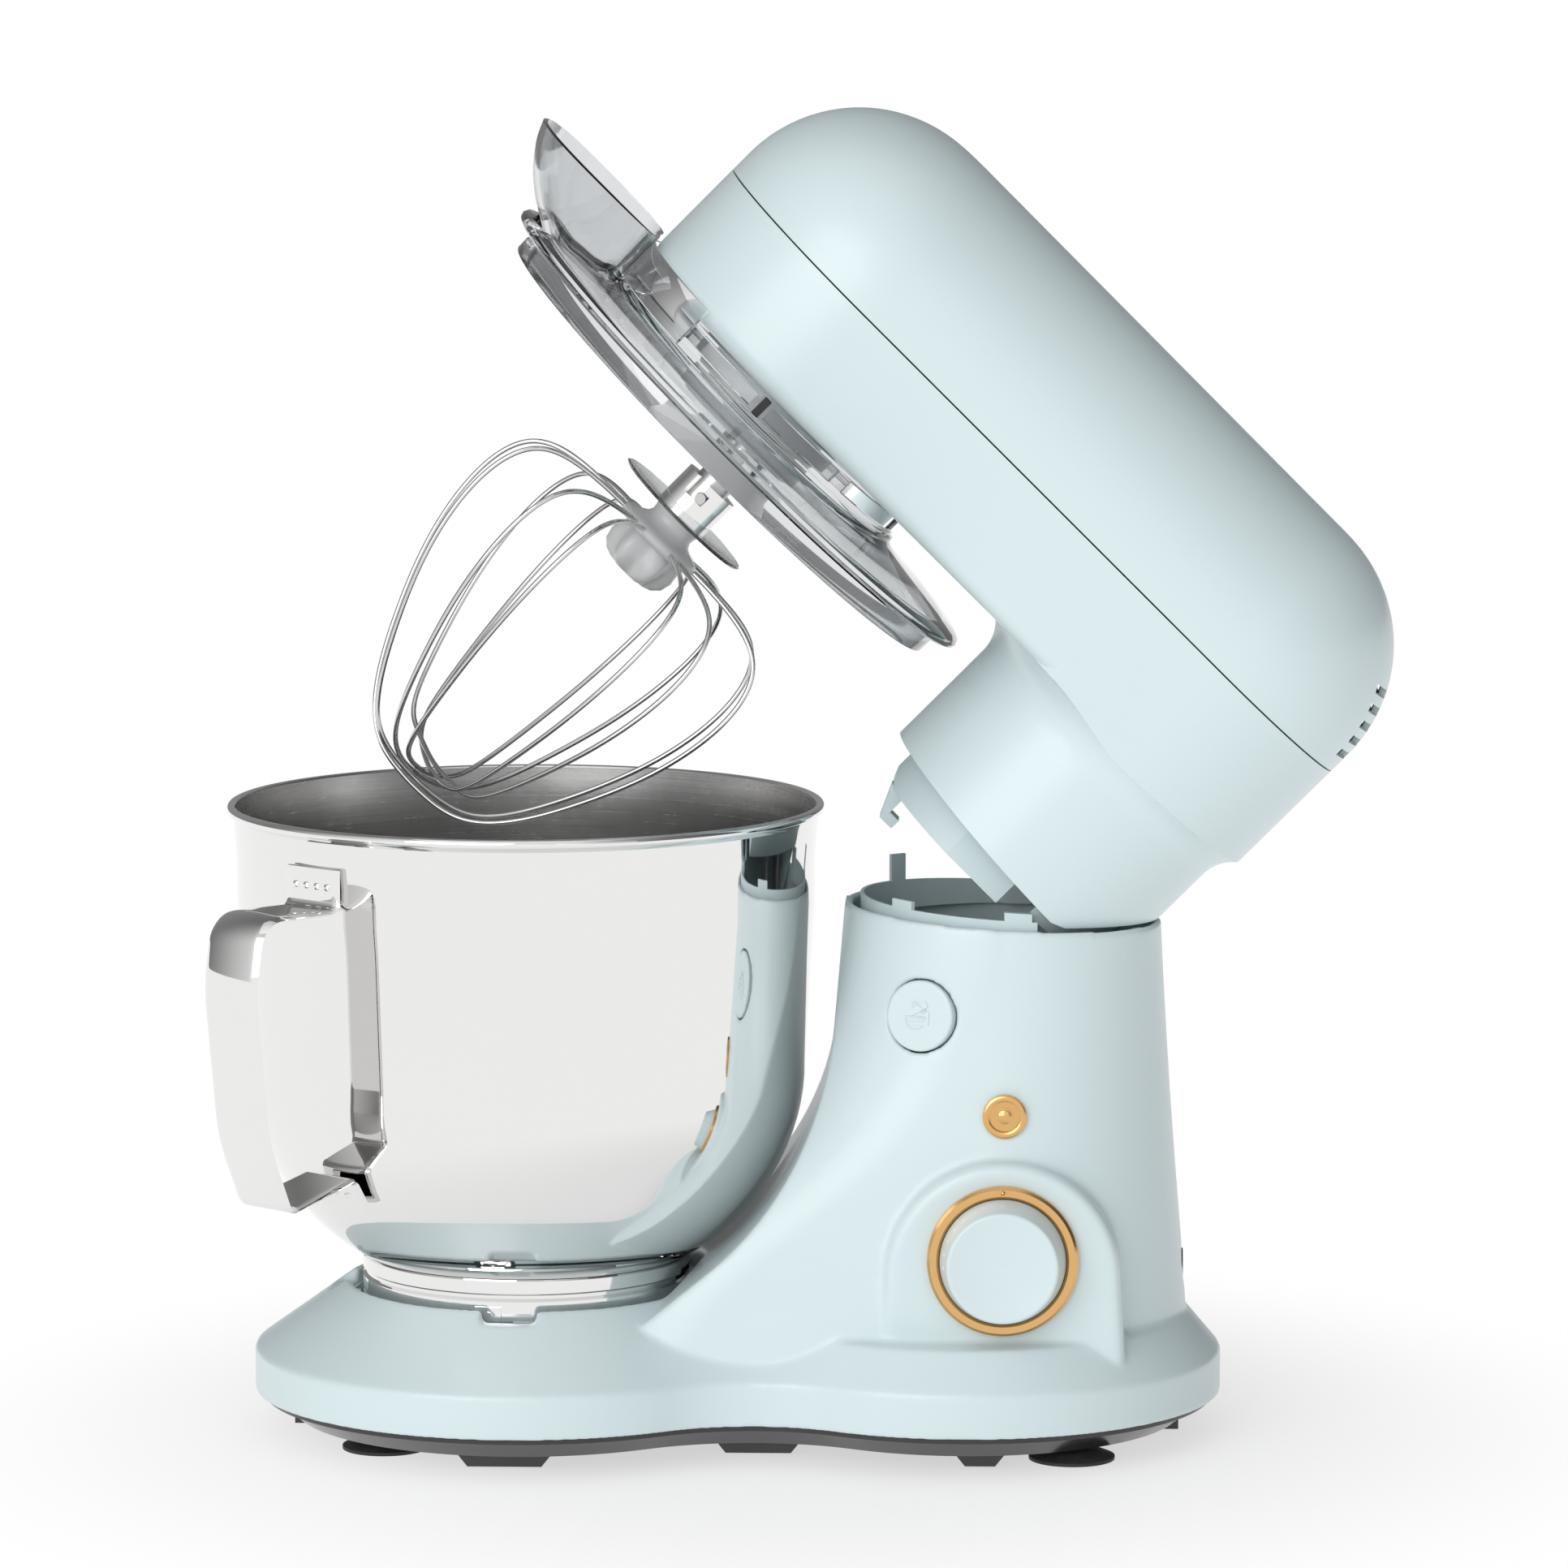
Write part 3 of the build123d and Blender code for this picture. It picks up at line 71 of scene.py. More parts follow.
class Effects:
    """Shader groups that several finishes place, each built once."""

    def __init__(self) -> None:
        self.groups: dict[Effect, bpy.types.NodeTree] = {
            Effect.MOTTLE: self.mottle(),
            Effect.GRAIN: self.grain(),
            Effect.WEAR: self.wear(),
            Effect.DUST: self.dust(),
            Effect.BRUSHED: self.brushed(),
        }

    @staticmethod
    def start(effect: Effect, inputs: dict[str, tuple[str, object]], outputs: dict[str, str]) -> tuple:
        """Makes an empty group with its sockets.

        Args:
            effect: which effect the group is.
            inputs: socket name to (kind, default).
            outputs: socket name to kind.

        Returns:
            The tree, its input node and its output node.
        """
        tree = bpy.data.node_groups.new(effect.value, "ShaderNodeTree")
        for name, (kind, default) in inputs.items():
            made = tree.interface.new_socket(name, in_out="INPUT", socket_type=kind)
            if default is not None:
                made.default_value = default
        for name, kind in outputs.items():
            tree.interface.new_socket(name, in_out="OUTPUT", socket_type=kind)
        return tree, tree.nodes.new("NodeGroupInput"), tree.nodes.new("NodeGroupOutput")

    @staticmethod
    def noise(tree: bpy.types.NodeTree, vector: object, scale: float, detail: float) -> bpy.types.Node:
        """Noise texture read at a vector, at a fixed scale.

        Args:
            tree: the group or material tree.
            vector: socket of the place to read at.
            scale: size of the pattern.
            detail: octaves of it.

        Returns:
            The texture node.
        """
        node = tree.nodes.new("ShaderNodeTexNoise")
        node.inputs["Scale"].default_value = scale
        node.inputs["Detail"].default_value = detail
        tree.links.new(vector, node.inputs["Vector"])
        return node

    @staticmethod
    def maths(tree: bpy.types.NodeTree, operation: str, first: object, second: object) -> object:
        """Math node between two sockets or numbers, as its output socket.

        Args:
            tree: the group or material tree.
            operation: the node's operation.
            first: socket or number.
            second: socket or number.

        Returns:
            The result's socket.
        """
        node = tree.nodes.new("ShaderNodeMath")
        node.operation = operation
        for slot, value in zip(node.inputs, (first, second)):
            if isinstance(value, (int, float)):
                slot.default_value = value
            else:
                tree.links.new(value, slot)
        return node.outputs[0]

    @staticmethod
    def mix(tree: bpy.types.NodeTree, factor: object, first: object, second: object) -> object:
        """Colour mix between two sockets or colours, as its output socket.

        Args:
            tree: the group or material tree.
            factor: socket or number.
            first: socket or colour at nought.
            second: socket or colour at one.

        Returns:
            The mixed colour's socket.
        """
        node = tree.nodes.new("ShaderNodeMix")
        node.data_type = "RGBA"
        for slot, value in ((node.inputs[0], factor), (node.inputs[6], first), (node.inputs[7], second)):
            if isinstance(value, (int, float)):
                slot.default_value = value
            elif isinstance(value, tuple):
                slot.default_value = value
            else:
                tree.links.new(value, slot)
        return node.outputs[2]

    def mottle(self) -> bpy.types.NodeTree:
        """Broad, faint change of tone and roughness over a moulding.

        Returns:
            The group.
        """
        tree, ins, outs = self.start(
            Effect.MOTTLE,
            {"Vector": ("NodeSocketVector", None), "Colour": ("NodeSocketColor", None),
             "Roughness": ("NodeSocketFloat", 0.4), "Amount": ("NodeSocketFloat", 0.03)},
            {"Colour": "NodeSocketColor", "Roughness": "NodeSocketFloat"},
        )
        cloud = self.noise(tree, ins.outputs["Vector"], 14.0, 3.0)
        fine = self.noise(tree, ins.outputs["Vector"], 160.0, 2.0)
        swing = self.maths(tree, "SUBTRACT", cloud.outputs["Fac"], 0.5)
        swing = self.maths(tree, "MULTIPLY", swing, ins.outputs["Amount"])
        small = self.maths(tree, "SUBTRACT", fine.outputs["Fac"], 0.5)
        small = self.maths(tree, "MULTIPLY", small, ins.outputs["Amount"])
        both = self.maths(tree, "ADD", swing, small)
        tint = tree.nodes.new("ShaderNodeHueSaturation")
        tree.links.new(ins.outputs["Colour"], tint.inputs["Color"])
        tree.links.new(self.maths(tree, "ADD", swing, 1.0), tint.inputs["Value"])
        tree.links.new(tint.outputs["Color"], outs.inputs["Colour"])
        rough = self.maths(tree, "ADD", ins.outputs["Roughness"], self.maths(tree, "MULTIPLY", both, 2.0))
        tree.links.new(rough, outs.inputs["Roughness"])
        return tree

    def grain(self) -> bpy.types.NodeTree:
        """Height of the fine orange-peel that a sprayed or moulded face has.

        Returns:
            The group.
        """
        tree, ins, outs = self.start(
            Effect.GRAIN,
            {"Vector": ("NodeSocketVector", None), "Scale": ("NodeSocketFloat", 900.0),
             "Broad": ("NodeSocketFloat", 0.35)},
            {"Height": "NodeSocketFloat"},
        )
        fine = self.noise(tree, ins.outputs["Vector"], 900.0, 2.0)
        tree.links.new(ins.outputs["Scale"], fine.inputs["Scale"])
        broad = self.noise(tree, ins.outputs["Vector"], 90.0, 1.0)
        height = self.maths(tree, "MULTIPLY", broad.outputs["Fac"], ins.outputs["Broad"])
        tree.links.new(self.maths(tree, "ADD", height, fine.outputs["Fac"]), outs.inputs["Height"])
        return tree

    def wear(self) -> bpy.types.NodeTree:
        """Mask of outer edges, broken up by noise, and the colour that they are rubbed to.

        Returns:
            The group.
        """
        tree, ins, outs = self.start(
            Effect.WEAR,
            {"Vector": ("NodeSocketVector", None), "Colour": ("NodeSocketColor", None),
             "Rubbed": ("NodeSocketColor", None), "Amount": ("NodeSocketFloat", 0.3)},
            {"Colour": "NodeSocketColor", "Mask": "NodeSocketFloat"},
        )
        shape = tree.nodes.new("ShaderNodeNewGeometry")
        ramp = tree.nodes.new("ShaderNodeMapRange")
        ramp.inputs["From Min"].default_value, ramp.inputs["From Max"].default_value = 0.53, 0.64
        tree.links.new(shape.outputs["Pointiness"], ramp.inputs["Value"])
        broken = self.noise(tree, ins.outputs["Vector"], 120.0, 3.0)
        mask = self.maths(tree, "MULTIPLY", ramp.outputs["Result"], broken.outputs["Fac"])
        mask = self.maths(tree, "MULTIPLY", mask, ins.outputs["Amount"])
        tree.links.new(mask, outs.inputs["Mask"])
        tree.links.new(self.mix(tree, mask, ins.outputs["Colour"], ins.outputs["Rubbed"]), outs.inputs["Colour"])
        return tree

    def dust(self) -> bpy.types.NodeTree:
        """Thin dust on faces that look up: a colour, and a rise in roughness.

        Returns:
            The group.
        """
        tree, ins, outs = self.start(
            Effect.DUST,
            {"Vector": ("NodeSocketVector", None), "Colour": ("NodeSocketColor", None),
             "Roughness": ("NodeSocketFloat", 0.4), "Amount": ("NodeSocketFloat", 0.05)},
            {"Colour": "NodeSocketColor", "Roughness": "NodeSocketFloat"},
        )
        shape = tree.nodes.new("ShaderNodeNewGeometry")
        split = tree.nodes.new("ShaderNodeSeparateXYZ")
        tree.links.new(shape.outputs["Normal"], split.inputs[0])
        up = self.maths(tree, "MAXIMUM", split.outputs["Z"], 0.0)
        specks = self.noise(tree, ins.outputs["Vector"], 420.0, 6.0)
        mask = self.maths(tree, "MULTIPLY", up, specks.outputs["Fac"])
        mask = self.maths(tree, "MULTIPLY", mask, ins.outputs["Amount"])
        tree.links.new(self.mix(tree, mask, ins.outputs["Colour"], (0.8, 0.78, 0.74, 1.0)), outs.inputs["Colour"])
        tree.links.new(self.maths(tree, "ADD", ins.outputs["Roughness"], mask), outs.inputs["Roughness"])
        return tree

    def brushed(self) -> bpy.types.NodeTree:
        """Fine lines turned about the object's upright axis: a height and a roughness.

        Returns:
            The group.
        """
        tree, ins, outs = self.start(
            Effect.BRUSHED,
            {"Vector": ("NodeSocketVector", None), "Roughness": ("NodeSocketFloat", 0.25),
             "Lines": ("NodeSocketFloat", 2600.0), "Spread": ("NodeSocketFloat", 0.12)},
            {"Height": "NodeSocketFloat", "Roughness": "NodeSocketFloat"},
        )
        split = tree.nodes.new("ShaderNodeSeparateXYZ")
        tree.links.new(ins.outputs["Vector"], split.inputs[0])
        turn = self.maths(tree, "ARCTAN2", split.outputs["Y"], split.outputs["X"])
        flat = tree.nodes.new("ShaderNodeCombineXYZ")
        tree.links.new(split.outputs["X"], flat.inputs[0])
        tree.links.new(split.outputs["Y"], flat.inputs[1])
        span = tree.nodes.new("ShaderNodeVectorMath")
        span.operation = "LENGTH"
        tree.links.new(flat.outputs[0], span.inputs[0])
        lines = tree.nodes.new("ShaderNodeCombineXYZ")
        tree.links.new(self.maths(tree, "MULTIPLY", turn, 0.8), lines.inputs[0])
        tree.links.new(self.maths(tree, "MULTIPLY", span.outputs["Value"], ins.outputs["Lines"]), lines.inputs[1])
        tree.links.new(self.maths(tree, "MULTIPLY", split.outputs["Z"], ins.outputs["Lines"]), lines.inputs[2])
        streak = self.noise(tree, lines.outputs[0], 1.0, 2.0)
        tree.links.new(streak.outputs["Fac"], outs.inputs["Height"])
        swing = self.maths(tree, "SUBTRACT", streak.outputs["Fac"], 0.5)
        swing = self.maths(tree, "MULTIPLY", swing, ins.outputs["Spread"])
        tree.links.new(self.maths(tree, "ADD", ins.outputs["Roughness"], swing), outs.inputs["Roughness"])
        return tree


# ---------------------------------------------------------------- finishes
@dataclass(frozen=True)
class Finish:
    """An opaque finish: its tone, sheen and the shared effects that break it up.

    Lengths are in metres and the effect amounts are fractions.
    """

    name: str
    colour: Rgb
    roughness: float
    metallic: float = 0.0
    coat: float = 0.0
    coat_roughness: float = 0.1
    mottle: float = 0.03
    grain_scale: float = 900.0
    grain_depth: float = 0.00001
    wear: float = 0.1
    rubbed: Rgb = (0.9, 0.9, 0.9)
    dust: float = 0.03
    brushed: float = 0.0
    anisotropy: float = 0.0
    specular: float = 0.5

    def make(self, effects: Effects) -> bpy.types.Material:
        """Builds the finish as a material.

        Args:
            effects: the shared shader groups.

        Returns:
            The material.
        """
        made = bpy.data.materials.new(self.name)
        made.use_nodes = True
        tree = made.node_tree
        shader = tree.nodes["Principled BSDF"]
        where = tree.nodes.new("ShaderNodeTexCoord").outputs["Object"]

        def place(effect: Effect, **values: object) -> bpy.types.Node:
            """Puts a shared group into this material and sets or links its inputs.

            Args:
                effect: which shared group.
                values: socket name to a value or a socket.

            Returns:
                The placed node.
            """
            node = tree.nodes.new("ShaderNodeGroup")
            node.node_tree = effects.groups[effect]
            tree.links.new(where, node.inputs["Vector"])
            for name, value in values.items():
                if isinstance(value, bpy.types.NodeSocket):
                    tree.links.new(value, node.inputs[name])
                else:
                    node.inputs[name].default_value = value
            return node

        toned = place(Effect.MOTTLE, Colour=(*self.colour, 1.0), Roughness=self.roughness, Amount=self.mottle)
        worn = place(Effect.WEAR, Colour=toned.outputs["Colour"], Rubbed=(*self.rubbed, 1.0), Amount=self.wear)
        dusty = place(
            Effect.DUST, Colour=worn.outputs["Colour"], Roughness=toned.outputs["Roughness"], Amount=self.dust
        )
        tree.links.new(dusty.outputs["Colour"], shader.inputs["Base Color"])
        bump = tree.nodes.new("ShaderNodeBump")
        bump.inputs["Strength"].default_value = 1.0
        bump.inputs["Distance"].default_value = self.grain_depth
        if self.brushed:
            lines = place(Effect.BRUSHED, Roughness=dusty.outputs["Roughness"], Spread=self.brushed)
            tree.links.new(lines.outputs["Roughness"], shader.inputs["Roughness"])
            tree.links.new(lines.outputs["Height"], bump.inputs["Height"])
        else:
            tree.links.new(dusty.outputs["Roughness"], shader.inputs["Roughness"])
            peel = place(Effect.GRAIN, Scale=self.grain_scale)
            tree.links.new(peel.outputs["Height"], bump.inputs["Height"])
        tree.links.new(bump.outputs["Normal"], shader.inputs["Normal"])
        shader.inputs["Metallic"].default_value = self.metallic
        shader.inputs["Coat Weight"].default_value = self.coat
        shader.inputs["Coat Roughness"].default_value = self.coat_roughness
        shader.inputs["Specular IOR Level"].default_value = self.specular
        shader.inputs["Anisotropic"].default_value = self.anisotropy
        return made


@dataclass(frozen=True)
class ClearFinish:
    """A see-through plastic that lets light through to what it covers."""

    name: str
    colour: Rgb
    roughness: float
    ior: float = 1.49
    haze: float = 0.02

    def make(self, effects: Effects) -> bpy.types.Material:
        """Builds the clear finish as a material.

        Args:
            effects: the shared shader groups.

        Returns:
            The material.
        """
        made = bpy.data.materials.new(self.name)
        made.use_nodes = True
        tree = made.node_tree
        shader = tree.nodes["Principled BSDF"]
        where = tree.nodes.new("ShaderNodeTexCoord").outputs["Object"]
        toned = tree.nodes.new("ShaderNodeGroup")
        toned.node_tree = effects.groups[Effect.MOTTLE]
        tree.links.new(where, toned.inputs["Vector"])
        toned.inputs["Colour"].default_value = (*self.colour, 1.0)
        toned.inputs["Roughness"].default_value = self.roughness
        toned.inputs["Amount"].default_value = self.haze
        tree.links.new(toned.outputs["Colour"], shader.inputs["Base Color"])
        tree.links.new(toned.outputs["Roughness"], shader.inputs["Roughness"])
        shader.inputs["Transmission Weight"].default_value = 1.0
        shader.inputs["IOR"].default_value = self.ior
        through = tree.nodes.new("ShaderNodeBsdfTransparent")
        through.inputs["Color"].default_value = (*[0.4 + 0.6 * c for c in self.colour], 1.0)
        path = tree.nodes.new("ShaderNodeLightPath")
        choice = tree.nodes.new("ShaderNodeMixShader")
        tree.links.new(path.outputs["Is Shadow Ray"], choice.inputs[0])
        tree.links.new(shader.outputs[0], choice.inputs[1])
        tree.links.new(through.outputs[0], choice.inputs[2])
        tree.links.new(choice.outputs[0], tree.nodes["Material Output"].inputs["Surface"])
        return made


SAGE = Finish("sage_satin_enamel", (0.625, 0.735, 0.755), 0.36, coat=0.25, coat_roughness=0.22,
              mottle=0.02, grain_scale=1400.0, grain_depth=0.000004, wear=0.06, rubbed=(0.72, 0.82, 0.84))
# Sage darker than the body's: painted shade for the recessed and tucked-in parts (bowl seat, column collar, neck,
# latch). It is also matte and uncoated.
SAGE_PAINTED_SHADE = Finish("sage_matte_painted_shade", (0.56, 0.67, 0.69), 0.5, mottle=0.03, grain_depth=0.000008, wear=0.05,
                   rubbed=(0.7, 0.8, 0.82))
BLACK = Finish("black_moulded_plastic", (0.018, 0.017, 0.019), 0.24, coat=0.4, coat_roughness=0.12, mottle=0.08,
               wear=0.15, rubbed=(0.12, 0.12, 0.12), dust=0.04)
RUBBER = Finish("black_rubber", (0.014, 0.014, 0.015), 0.55, mottle=0.1, grain_depth=0.00003, wear=0.3,
                rubbed=(0.08, 0.08, 0.08), dust=0.08)
CHROME = Finish("mirror_steel", (0.83, 0.825, 0.82), 0.035, metallic=1.0, mottle=0.012, grain_scale=500.0,
                grain_depth=0.0000006, wear=0.0, dust=0.01)
WIRE = Finish("polished_wire", (0.66, 0.655, 0.65), 0.13, metallic=1.0, mottle=0.01, grain_depth=0.0,
              wear=0.0, dust=0.0)
TURNED = Finish("turned_steel", (0.62, 0.615, 0.61), 0.24, metallic=1.0, mottle=0.03, grain_depth=0.0000035,
                wear=0.0, dust=0.01, brushed=0.16, anisotropy=0.6)
GOLD = Finish("satin_gold", (0.72, 0.43, 0.17), 0.24, metallic=1.0, mottle=0.04, grain_depth=0.000003, wear=0.2,
              rubbed=(0.95, 0.75, 0.45), dust=0.01, brushed=0.1, anisotropy=0.4)
GREY = Finish("light_grey_moulding", (0.50, 0.505, 0.51), 0.3, coat=0.2, mottle=0.03, wear=0.1,
              rubbed=(0.7, 0.7, 0.7))
STEEL = Finish("plated_steel", (0.5, 0.5, 0.49), 0.32, metallic=1.0, mottle=0.06, wear=0.2, rubbed=(0.8, 0.8, 0.8))
CAST = Finish("cast_alloy", (0.42, 0.43, 0.44), 0.55, metallic=1.0, mottle=0.08, grain_scale=500.0,
              grain_depth=0.00006, wear=0.25, rubbed=(0.75, 0.75, 0.76))
BRONZE = Finish("sintered_bronze", (0.45, 0.28, 0.13), 0.45, metallic=1.0, mottle=0.1, grain_depth=0.00003)
DARK = Finish("dark_engineering_plastic", (0.03, 0.03, 0.035), 0.45, mottle=0.08, grain_depth=0.00002)
COPPER = Finish("enamelled_copper", (0.55, 0.22, 0.09), 0.3, metallic=1.0, mottle=0.08, grain_depth=0.00004)
LAMINATION = Finish("stacked_laminations", (0.2, 0.2, 0.22), 0.4, metallic=1.0, brushed=0.2, mottle=0.1)
CARBON = Finish("carbon_block", (0.02, 0.02, 0.02), 0.6, mottle=0.1, grain_depth=0.00003)
BOARD = Finish("solder_mask", (0.01, 0.12, 0.045), 0.3, coat=0.4, mottle=0.06)
ACETAL = Finish("ivory_acetal", (0.78, 0.75, 0.68), 0.38, mottle=0.04, grain_depth=0.00001)
SMOKE = ClearFinish("smoke_clear_plastic", (0.74, 0.755, 0.765), 0.03)
GUARD = ClearFinish("milky_clear_plastic", (0.92, 0.93, 0.94), 0.16, haze=0.04)
# Near-black for the collar's slot: painted shade standing in for the dark of an open gap.
SLOT_PAINTED_SHADE = Finish("slot_painted_shade", (0.006, 0.006, 0.007), 0.4)
INK = Finish("white_ink", (0.86, 0.88, 0.88), 0.5, mottle=0.02)


class Workshop:
    """Makes each finish once and puts finished pieces on their bodies."""

    def __init__(self) -> None:
        self.effects = Effects()
        self.made: dict[str, bpy.types.Material] = {}

    def finish(self, wanted: Finish | ClearFinish) -> bpy.types.Material:
        """The material of a finish, built the first time it is asked for.

        Args:
            wanted: the finish.

        Returns:
            Its material.
        """
        if wanted.name not in self.made:
            self.made[wanted.name] = wanted.make(self.effects)
        return self.made[wanted.name]

    def dress(self, node: str, *wanted: Finish | ClearFinish) -> bpy.types.Object:
        """Puts a finish on a CAD node.

        Args:
            node: the node's name.
            wanted: the finish, or one for each material slot.

        Returns:
            The node's object.
        """
        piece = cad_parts[node]
        piece.data.materials.clear()
        for one in wanted:
            piece.data.materials.append(self.finish(one))
        LOG.info("%s dressed in %s", node, ", ".join(one.name for one in wanted))
        return piece

    def add(self, name: str, mesh: bpy.types.Mesh, body: str, wanted: Finish | ClearFinish, slot: str,
            stands_for: tuple[str, ...] = ()) -> bpy.types.Object:
        """Adds a new piece in a finish and sets what it rides on.

        Args:
            name: the piece's name.
            mesh: its mesh, in the row's frame.
            body: the body it rides on.
            wanted: its finish.
            slot: name of a material slot; not used.
            stands_for: CAD nodes that it replaces.

        Returns:
            The piece.
        """
        piece = bpy.data.objects.new(name, mesh)
        bpy.context.scene.collection.objects.link(piece)
        if not mesh.materials:
            mesh.materials.append(self.finish(wanted))
        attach(piece, body)
        if stands_for:
            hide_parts(*stands_for)
        LOG.info("%s built with %d faces, riding on %s", name, len(mesh.polygons), body)
        return piece


# ---------------------------------------------------------------- mesh makers
class Shapes:
    """Mesh makers that take millimetres and give meshes in metres."""

    @staticmethod
    def smooth(mesh: bpy.types.Mesh, angle: float = 32.0) -> bpy.types.Mesh:
        """Shades a mesh smooth, with edges sharper than an angle kept crisp.

        Args:
            mesh: the mesh to shade.
            angle: largest angle that stays smooth, in degrees.

        Returns:
            The same mesh.
        """
        mesh.shade_smooth()
        mesh.set_sharp_from_angle(angle=math.radians(angle))
        return mesh

    @staticmethod
    def lathe(name: str, outline: Outline, turns: int, centre: Vector = Vector(), raised: bool = False
              ) -> bpy.types.Mesh:
        """Mesh turned about an upright axis from a closed outline of (radius, height).

        Args:
            name: the mesh's name.
            outline: closed outline in millimetres.
            turns: segments round the axis.
            centre: where the axis stands, in metres.
            raised: whether the level head's tilt is applied.

        Returns:
            The mesh.
        """
        mesh = bpy.data.meshes.new(name)
        count = len(outline)
        points, faces = [], []
        for k in range(turns):
            angle = 2 * math.pi * k / turns
            for r, z in outline:
                points.append(Vector((r * math.cos(angle) * MM, r * math.sin(angle) * MM, z * MM)) + centre)
            for i in range(count):
                j, n = (i + 1) % count, (k + 1) % turns
                faces.append((k * count + i, n * count + i, n * count + j, k * count + j))
        mesh.from_pydata(points, [], faces)
        tidy = bmesh.new()
        tidy.from_mesh(mesh)
        bmesh.ops.remove_doubles(tidy, verts=tidy.verts, dist=1e-6)
        bmesh.ops.dissolve_degenerate(tidy, edges=tidy.edges, dist=1e-7)
        bmesh.ops.recalc_face_normals(tidy, faces=tidy.faces)
        tidy.to_mesh(mesh)
        tidy.free()
        if raised:
            mesh.transform(RAISED)
        return Shapes.smooth(mesh)

    @staticmethod
    def rounded(points: Outline, radii: list[float], steps: int = 10) -> Outline:
        """Open path through points with its inner corners rounded.

        Args:
            points: corners of the path, in millimetres.
            radii: one radius for each inner corner.
            steps: divisions of each bend.

        Returns:
            The path's points.
        """
        path = [Vector(points[0])]
        for before, corner, after, radius in zip(points, points[1:], points[2:], radii):
            a = (Vector(before) - Vector(corner)).normalized()
            b = (Vector(after) - Vector(corner)).normalized()
            half = a.angle(b) / 2
            reach = radius / math.tan(half)
            start, end = Vector(corner) + a * reach, Vector(corner) + b * reach
            middle = Vector(corner) + (a + b).normalized() * radius / math.sin(half)
            first, last = start - middle, end - middle
            turn = first.angle(last)
            for k in range(steps + 1):
                t = k / steps
                mix = (first * math.sin((1 - t) * turn) + last * math.sin(t * turn)) / math.sin(turn)
                path.append(middle + mix)
        path.append(Vector(points[-1]))
        return [(p.x, p.y) for p in path]

    @staticmethod
    def wire(name: str, points: list[Vector], radius: float, closed: bool, matrix: Matrix) -> bpy.types.Mesh:
        """Round wire along a smooth NURBS line.

        Args:
            name: the mesh's name.
            points: the line's control points, in millimetres.
            radius: the wire's radius, in millimetres.
            closed: whether the line is a ring.
            matrix: where the wire goes, from metres.

        Returns:
            The mesh.
        """
        curve = bpy.data.curves.new(name, "CURVE")
        curve.dimensions = "3D"
        line = curve.splines.new("NURBS")
        line.points.add(len(points) - 1)
        for slot, point in zip(line.points, points):
            slot.co = (*(matrix @ (point * MM)), 1.0)
        line.order_u = 4
        line.use_cyclic_u = closed
        line.use_endpoint_u = not closed
        line.resolution_u = 10
        curve.bevel_depth = radius * MM
        curve.bevel_resolution = 3
        curve.use_fill_caps = not closed
        holder = bpy.data.objects.new(name, curve)
        bpy.context.scene.collection.objects.link(holder)
        mesh = bpy.data.meshes.new_from_object(holder.evaluated_get(bpy.context.evaluated_depsgraph_get()))
        bpy.data.objects.remove(holder)
        mesh.name = name
        mesh.materials.clear()
        mesh.shade_smooth()
        return mesh

    @staticmethod
    def joined(name: str, meshes: list[bpy.types.Mesh]) -> bpy.types.Mesh:
        """One mesh of several.

        Args:
            name: the new mesh's name.
            meshes: the meshes to join.

        Returns:
            The joined mesh.
        """
        whole = bmesh.new()
        for mesh in meshes:
            whole.from_mesh(mesh)
        made = bpy.data.meshes.new(name)
        whole.to_mesh(made)
        whole.free()
        return made

    @staticmethod
    def evaluated(mesh: bpy.types.Mesh, kind: str, **settings: object) -> bpy.types.Mesh:
        """Mesh after one modifier.

        Args:
            mesh: the mesh to change.
            kind: the modifier's type.
            settings: the modifier's settings.

        Returns:
            The changed mesh.
        """
        piece = bpy.data.objects.new("work", mesh)
        bpy.context.scene.collection.objects.link(piece)
        modifier = piece.modifiers.new("work", kind)
        for name, value in settings.items():
            setattr(modifier, name, value)
        made = bpy.data.meshes.new_from_object(piece.evaluated_get(bpy.context.evaluated_depsgraph_get()))
        bpy.data.objects.remove(piece)
        made.name = mesh.name
        made.materials.clear()
        return made

    @staticmethod
    def trimmed(mesh: bpy.types.Mesh, cutter: bpy.types.Mesh) -> bpy.types.Mesh:
        """Mesh with the room of another taken out of it.

        Args:
            mesh: the mesh to cut.
            cutter: the mesh whose room is taken out.

        Returns:
            The cut mesh.
        """
        tool = bpy.data.objects.new("cutter", cutter)
        bpy.context.scene.collection.objects.link(tool)
        made = Shapes.evaluated(mesh, "BOOLEAN", object=tool, operation="DIFFERENCE", solver="EXACT")
        bpy.data.objects.remove(tool)
        return made

    @staticmethod
    def thickened(mesh: bpy.types.Mesh, sheet: float) -> bpy.types.Mesh:
        """Open skin made into a wall, inwards, with a rim."""
        return Shapes.evaluated(mesh, "SOLIDIFY", thickness=sheet * MM, offset=-1.0, use_rim=True,
                                use_even_offset=True)

    @staticmethod
    def lobed(name: str, levels: list[tuple[float, float, float]], lobes: int, turns: int) -> bpy.types.Mesh:
        """Capped solid of stacked sections whose radius swells in lobes.

        Args:
            name: the mesh's name.
            levels: (height, radius, lobe depth) of each section, from the top down.
            lobes: how many lobes go round.
            turns: segments round the axis.

        Returns:
            The mesh.
        """
        points, faces = [], []
        for n, (z, r, depth) in enumerate(levels):
            for k in range(turns):
                angle = 2 * math.pi * k / turns
                reach = r + depth * math.cos(lobes * angle)
                points.append((reach * math.cos(angle) * MM, reach * math.sin(angle) * MM, z * MM))
            for i in range(turns if n else 0):
                j = (i + 1) % turns
                faces.append(((n - 1) * turns + i, n * turns + i, n * turns + j, (n - 1) * turns + j))
        faces += [tuple(range(turns)), tuple(range((len(levels) - 1) * turns, len(levels) * turns))[::-1]]
        mesh = bpy.data.meshes.new(name)
        mesh.from_pydata(points, [], faces)
        return mesh

